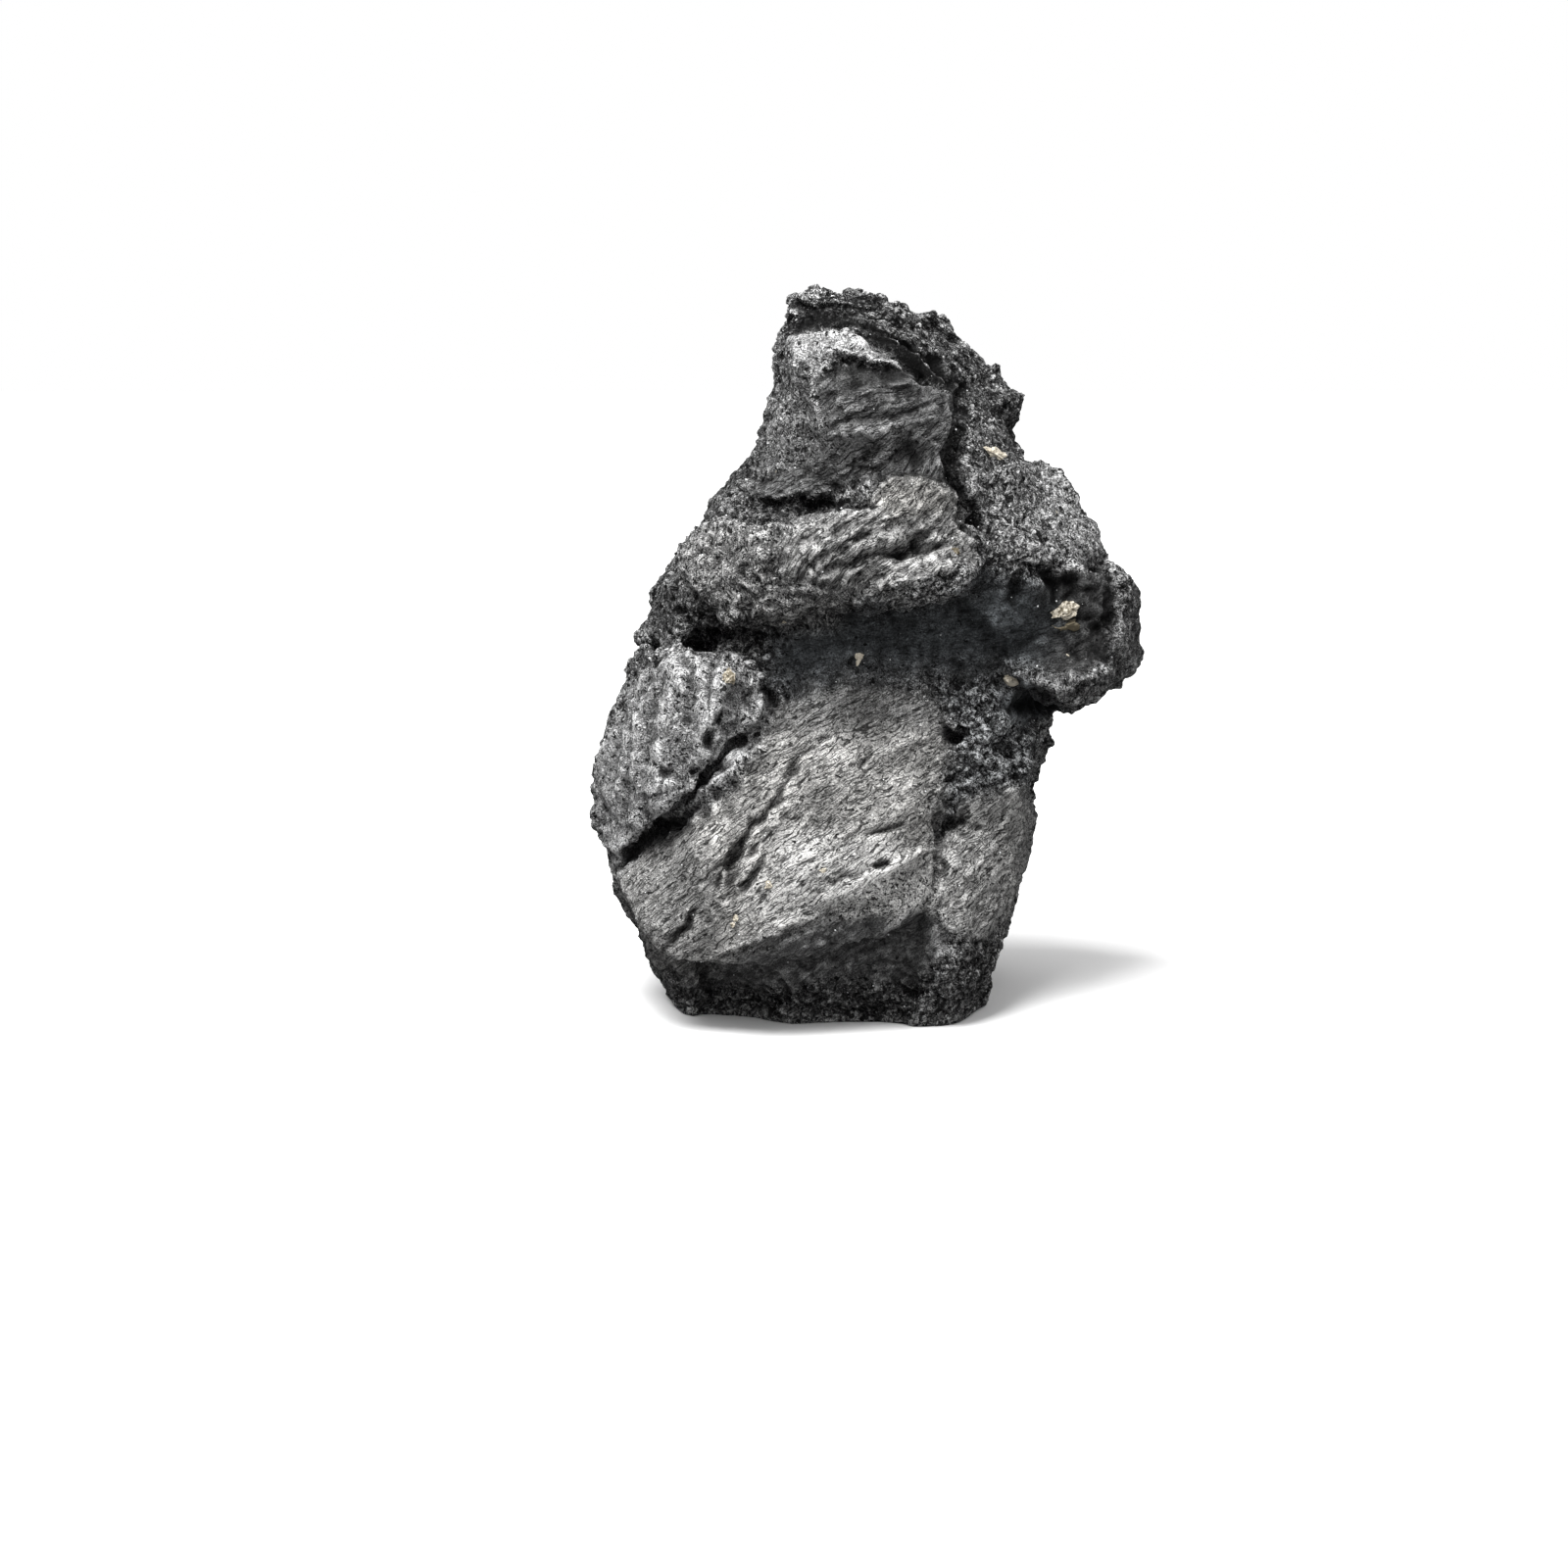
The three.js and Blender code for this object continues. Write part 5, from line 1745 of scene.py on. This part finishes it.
@dataclass
class Glints:
    """Tiny crystals scattered over the stone, which also serve as painted sparkle highlights."""

    finish: bpy.types.Material
    # crystals in a square metre
    density: float = 6500.0
    smallest: float = 0.1 * MM
    largest: float = 0.34 * MM
    seed: int = 5

    def build(self, stone: bpy.types.Object) -> bpy.types.Object:
        """Scatters the crystals.

        Args:
            stone: the stone that carries them.

        Returns:
            The crystals as one mesh.
        """
        made = object_from(stone.data.copy(), "glints")
        run_tree(made, self.scatter_tree(), {
            "Density": self.density,
            "Smallest": self.smallest,
            "Largest": self.largest,
            "Seed": self.seed,
        })
        return made

    def scatter_tree(self) -> bpy.types.NodeTree:
        """Builds the tree that sets small crystals on a surface at random, with few large ones.

        Returns:
            The tree.
        """
        tree = bpy.data.node_groups.new("crystal_scatter", "GeometryNodeTree")
        new_socket(tree, "Geometry", "NodeSocketGeometry")
        for name in ("Density", "Smallest", "Largest"):
            new_socket(tree, name, "NodeSocketFloat", value=1.0)
        new_socket(tree, "Seed", "NodeSocketInt", value=0)
        new_socket(tree, "Geometry", "NodeSocketGeometry", output=True)
        wire = Wiring(tree)
        given = wire.inputs()
        points = wire.add("GeometryNodeDistributePointsOnFaces", {
            "Mesh": given["Geometry"], "Density": given["Density"], "Seed": given["Seed"]})
        crystal = wire.add("GeometryNodeMeshIcoSphere", {"Radius": 1.0, "Subdivisions": 1})
        turns = {0: (0.0, 0.0, 0.0), 1: (math.tau,) * 3, "Seed": given["Seed"]}
        turn = wire.add("FunctionNodeRandomValue", turns, data_type="FLOAT_VECTOR")
        chances = {2: 0.0, 3: 1.0, "Seed": given["Seed"]}
        chance = wire.add("FunctionNodeRandomValue", chances, data_type="FLOAT")
        rare = wire.math("POWER", chance.outputs[1], 3.0)
        size = wire.add("ShaderNodeMapRange", {
            "Value": rare, "To Min": given["Smallest"], "To Max": given["Largest"]}).outputs["Result"]
        placed = wire.add("GeometryNodeInstanceOnPoints", {
            "Points": points.outputs["Points"], "Instance": crystal.outputs["Mesh"],
            "Rotation": turn.outputs[0], "Scale": size})
        wire.finish(placed.outputs[0], self.finish)
        return tree


@dataclass(frozen=True)
class Studio:
    """The pale floor, the soft light and the camera."""

    floor_size: float = 2.3
    # what the floor looks like, and what it throws back on the stone
    floor_colour: Colour = (0.84, 0.84, 0.84)
    bounce_colour: Colour = (0.16, 0.16, 0.16)
    floor_roughness: float = 0.9
    floor_specular: float = 0.1
    # the sky's light from below and from above
    sky_low: float = 0.16
    sky_high: float = 1.0
    # the lamps: power in watts
    lamp_size: float = 0.9
    lamp_aim: tuple[float, float, float] = (0.0, 0.0, 0.12)
    key_power: float = 62.0
    key_place: tuple[float, float, float] = (-0.34, -0.5, 1.5)
    fill_power: float = 3.0
    fill_place: tuple[float, float, float] = (0.9, -1.2, 0.7)

    def build(self) -> None:
        """Sets the stage."""
        self.floor()
        self.sky()
        self.lamp("key", self.key_place, self.key_power)
        self.lamp("fill", self.fill_place, self.fill_power)
        self.camera()

    def floor(self) -> None:
        """Lays the pale floor, which throws less light on the stone than it shows the viewer."""
        bpy.ops.mesh.primitive_plane_add(size=self.floor_size)
        floor = bpy.context.object
        floor.name = "floor"
        material = bpy.data.materials.new("pale_floor")
        material.use_nodes = True
        shader = material.node_tree.nodes["Principled BSDF"]
        wire = Wiring(material.node_tree)
        looked_at = wire.add("ShaderNodeLightPath").outputs["Is Camera Ray"]
        pale = wire.blend(looked_at, (*self.bounce_colour, 1.0), (*self.floor_colour, 1.0))
        material.node_tree.links.new(pale, shader.inputs["Base Color"])
        shader.inputs["Roughness"].default_value = self.floor_roughness
        shader.inputs["Specular IOR Level"].default_value = self.floor_specular
        floor.data.materials.append(material)

    def sky(self) -> None:
        """Sets a soft sky, dim from below and white to the viewer."""
        world = bpy.data.worlds.new("soft_sky")
        world.use_nodes = True
        wire = Wiring(world.node_tree)
        sky = world.node_tree.nodes["Background"]
        looked_at = wire.add("ShaderNodeLightPath").outputs["Is Camera Ray"]
        upward = wire.add("ShaderNodeSeparateXYZ", {0: wire.add("ShaderNodeTexCoord").outputs["Generated"]})
        lit = wire.ramp(upward.outputs[2], -0.1, 0.9, self.sky_low, self.sky_high)
        strength = wire.math("MAXIMUM", lit, looked_at)
        world.node_tree.links.new(strength, sky.inputs["Strength"])
        sky.inputs["Color"].default_value = (1.0, 1.0, 1.0, 1.0)
        bpy.context.scene.world = world

    def lamp(self, name: str, place: tuple[float, float, float], power: float) -> None:
        """Adds one soft lamp that looks at the stone's middle.

        Args:
            name: the lamp's name.
            place: where it hangs.
            power: its power in watts.
        """
        lamp = bpy.data.lights.new(name, "AREA")
        lamp.size = self.lamp_size
        lamp.energy = power
        made = bpy.data.objects.new(name, lamp)
        bpy.context.scene.collection.objects.link(made)
        made.location = place
        aim = Vector(self.lamp_aim) - Vector(place)
        made.rotation_euler = aim.to_track_quat("-Z", "Y").to_euler()

    @staticmethod
    def camera() -> None:
        """Adds the camera at the photograph's angle and frame."""
        lens = bpy.data.cameras.new("camera")
        lens.sensor_width = VIEW.sensor
        lens.lens = VIEW.lens
        lens.clip_end = 100.0
        made = bpy.data.objects.new("camera", lens)
        bpy.context.scene.collection.objects.link(made)
        made.location = VIEW.eye
        made.rotation_euler = (math.pi / 2 - VIEW.elevation, 0.0, 0.0)
        bpy.context.scene.camera = made
        bpy.context.scene.view_settings.view_transform = "Standard"


def fit(piece: bpy.types.Object) -> None:
    """Ties a piece to the stone's body.

    Args:
        piece: the piece.
    """
    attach(piece, BODY)
    LOG.info("piece %s: %d faces", piece.name, len(piece.data.polygons))


def main() -> None:
    """Builds the stone, its small pieces and the stage."""
    logging.basicConfig(level=logging.INFO, format="%(name)s: %(message)s")
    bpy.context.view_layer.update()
    stone = Stone(LavaFinish().material()).build()
    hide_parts(NODE)
    fit(stone)
    fit(Fragments(MineralFinish().material()).build(stone))
    fit(Glints(GlintFinish().material()).build(stone))
    Studio().build()


if __name__ == "__main__":
    main()
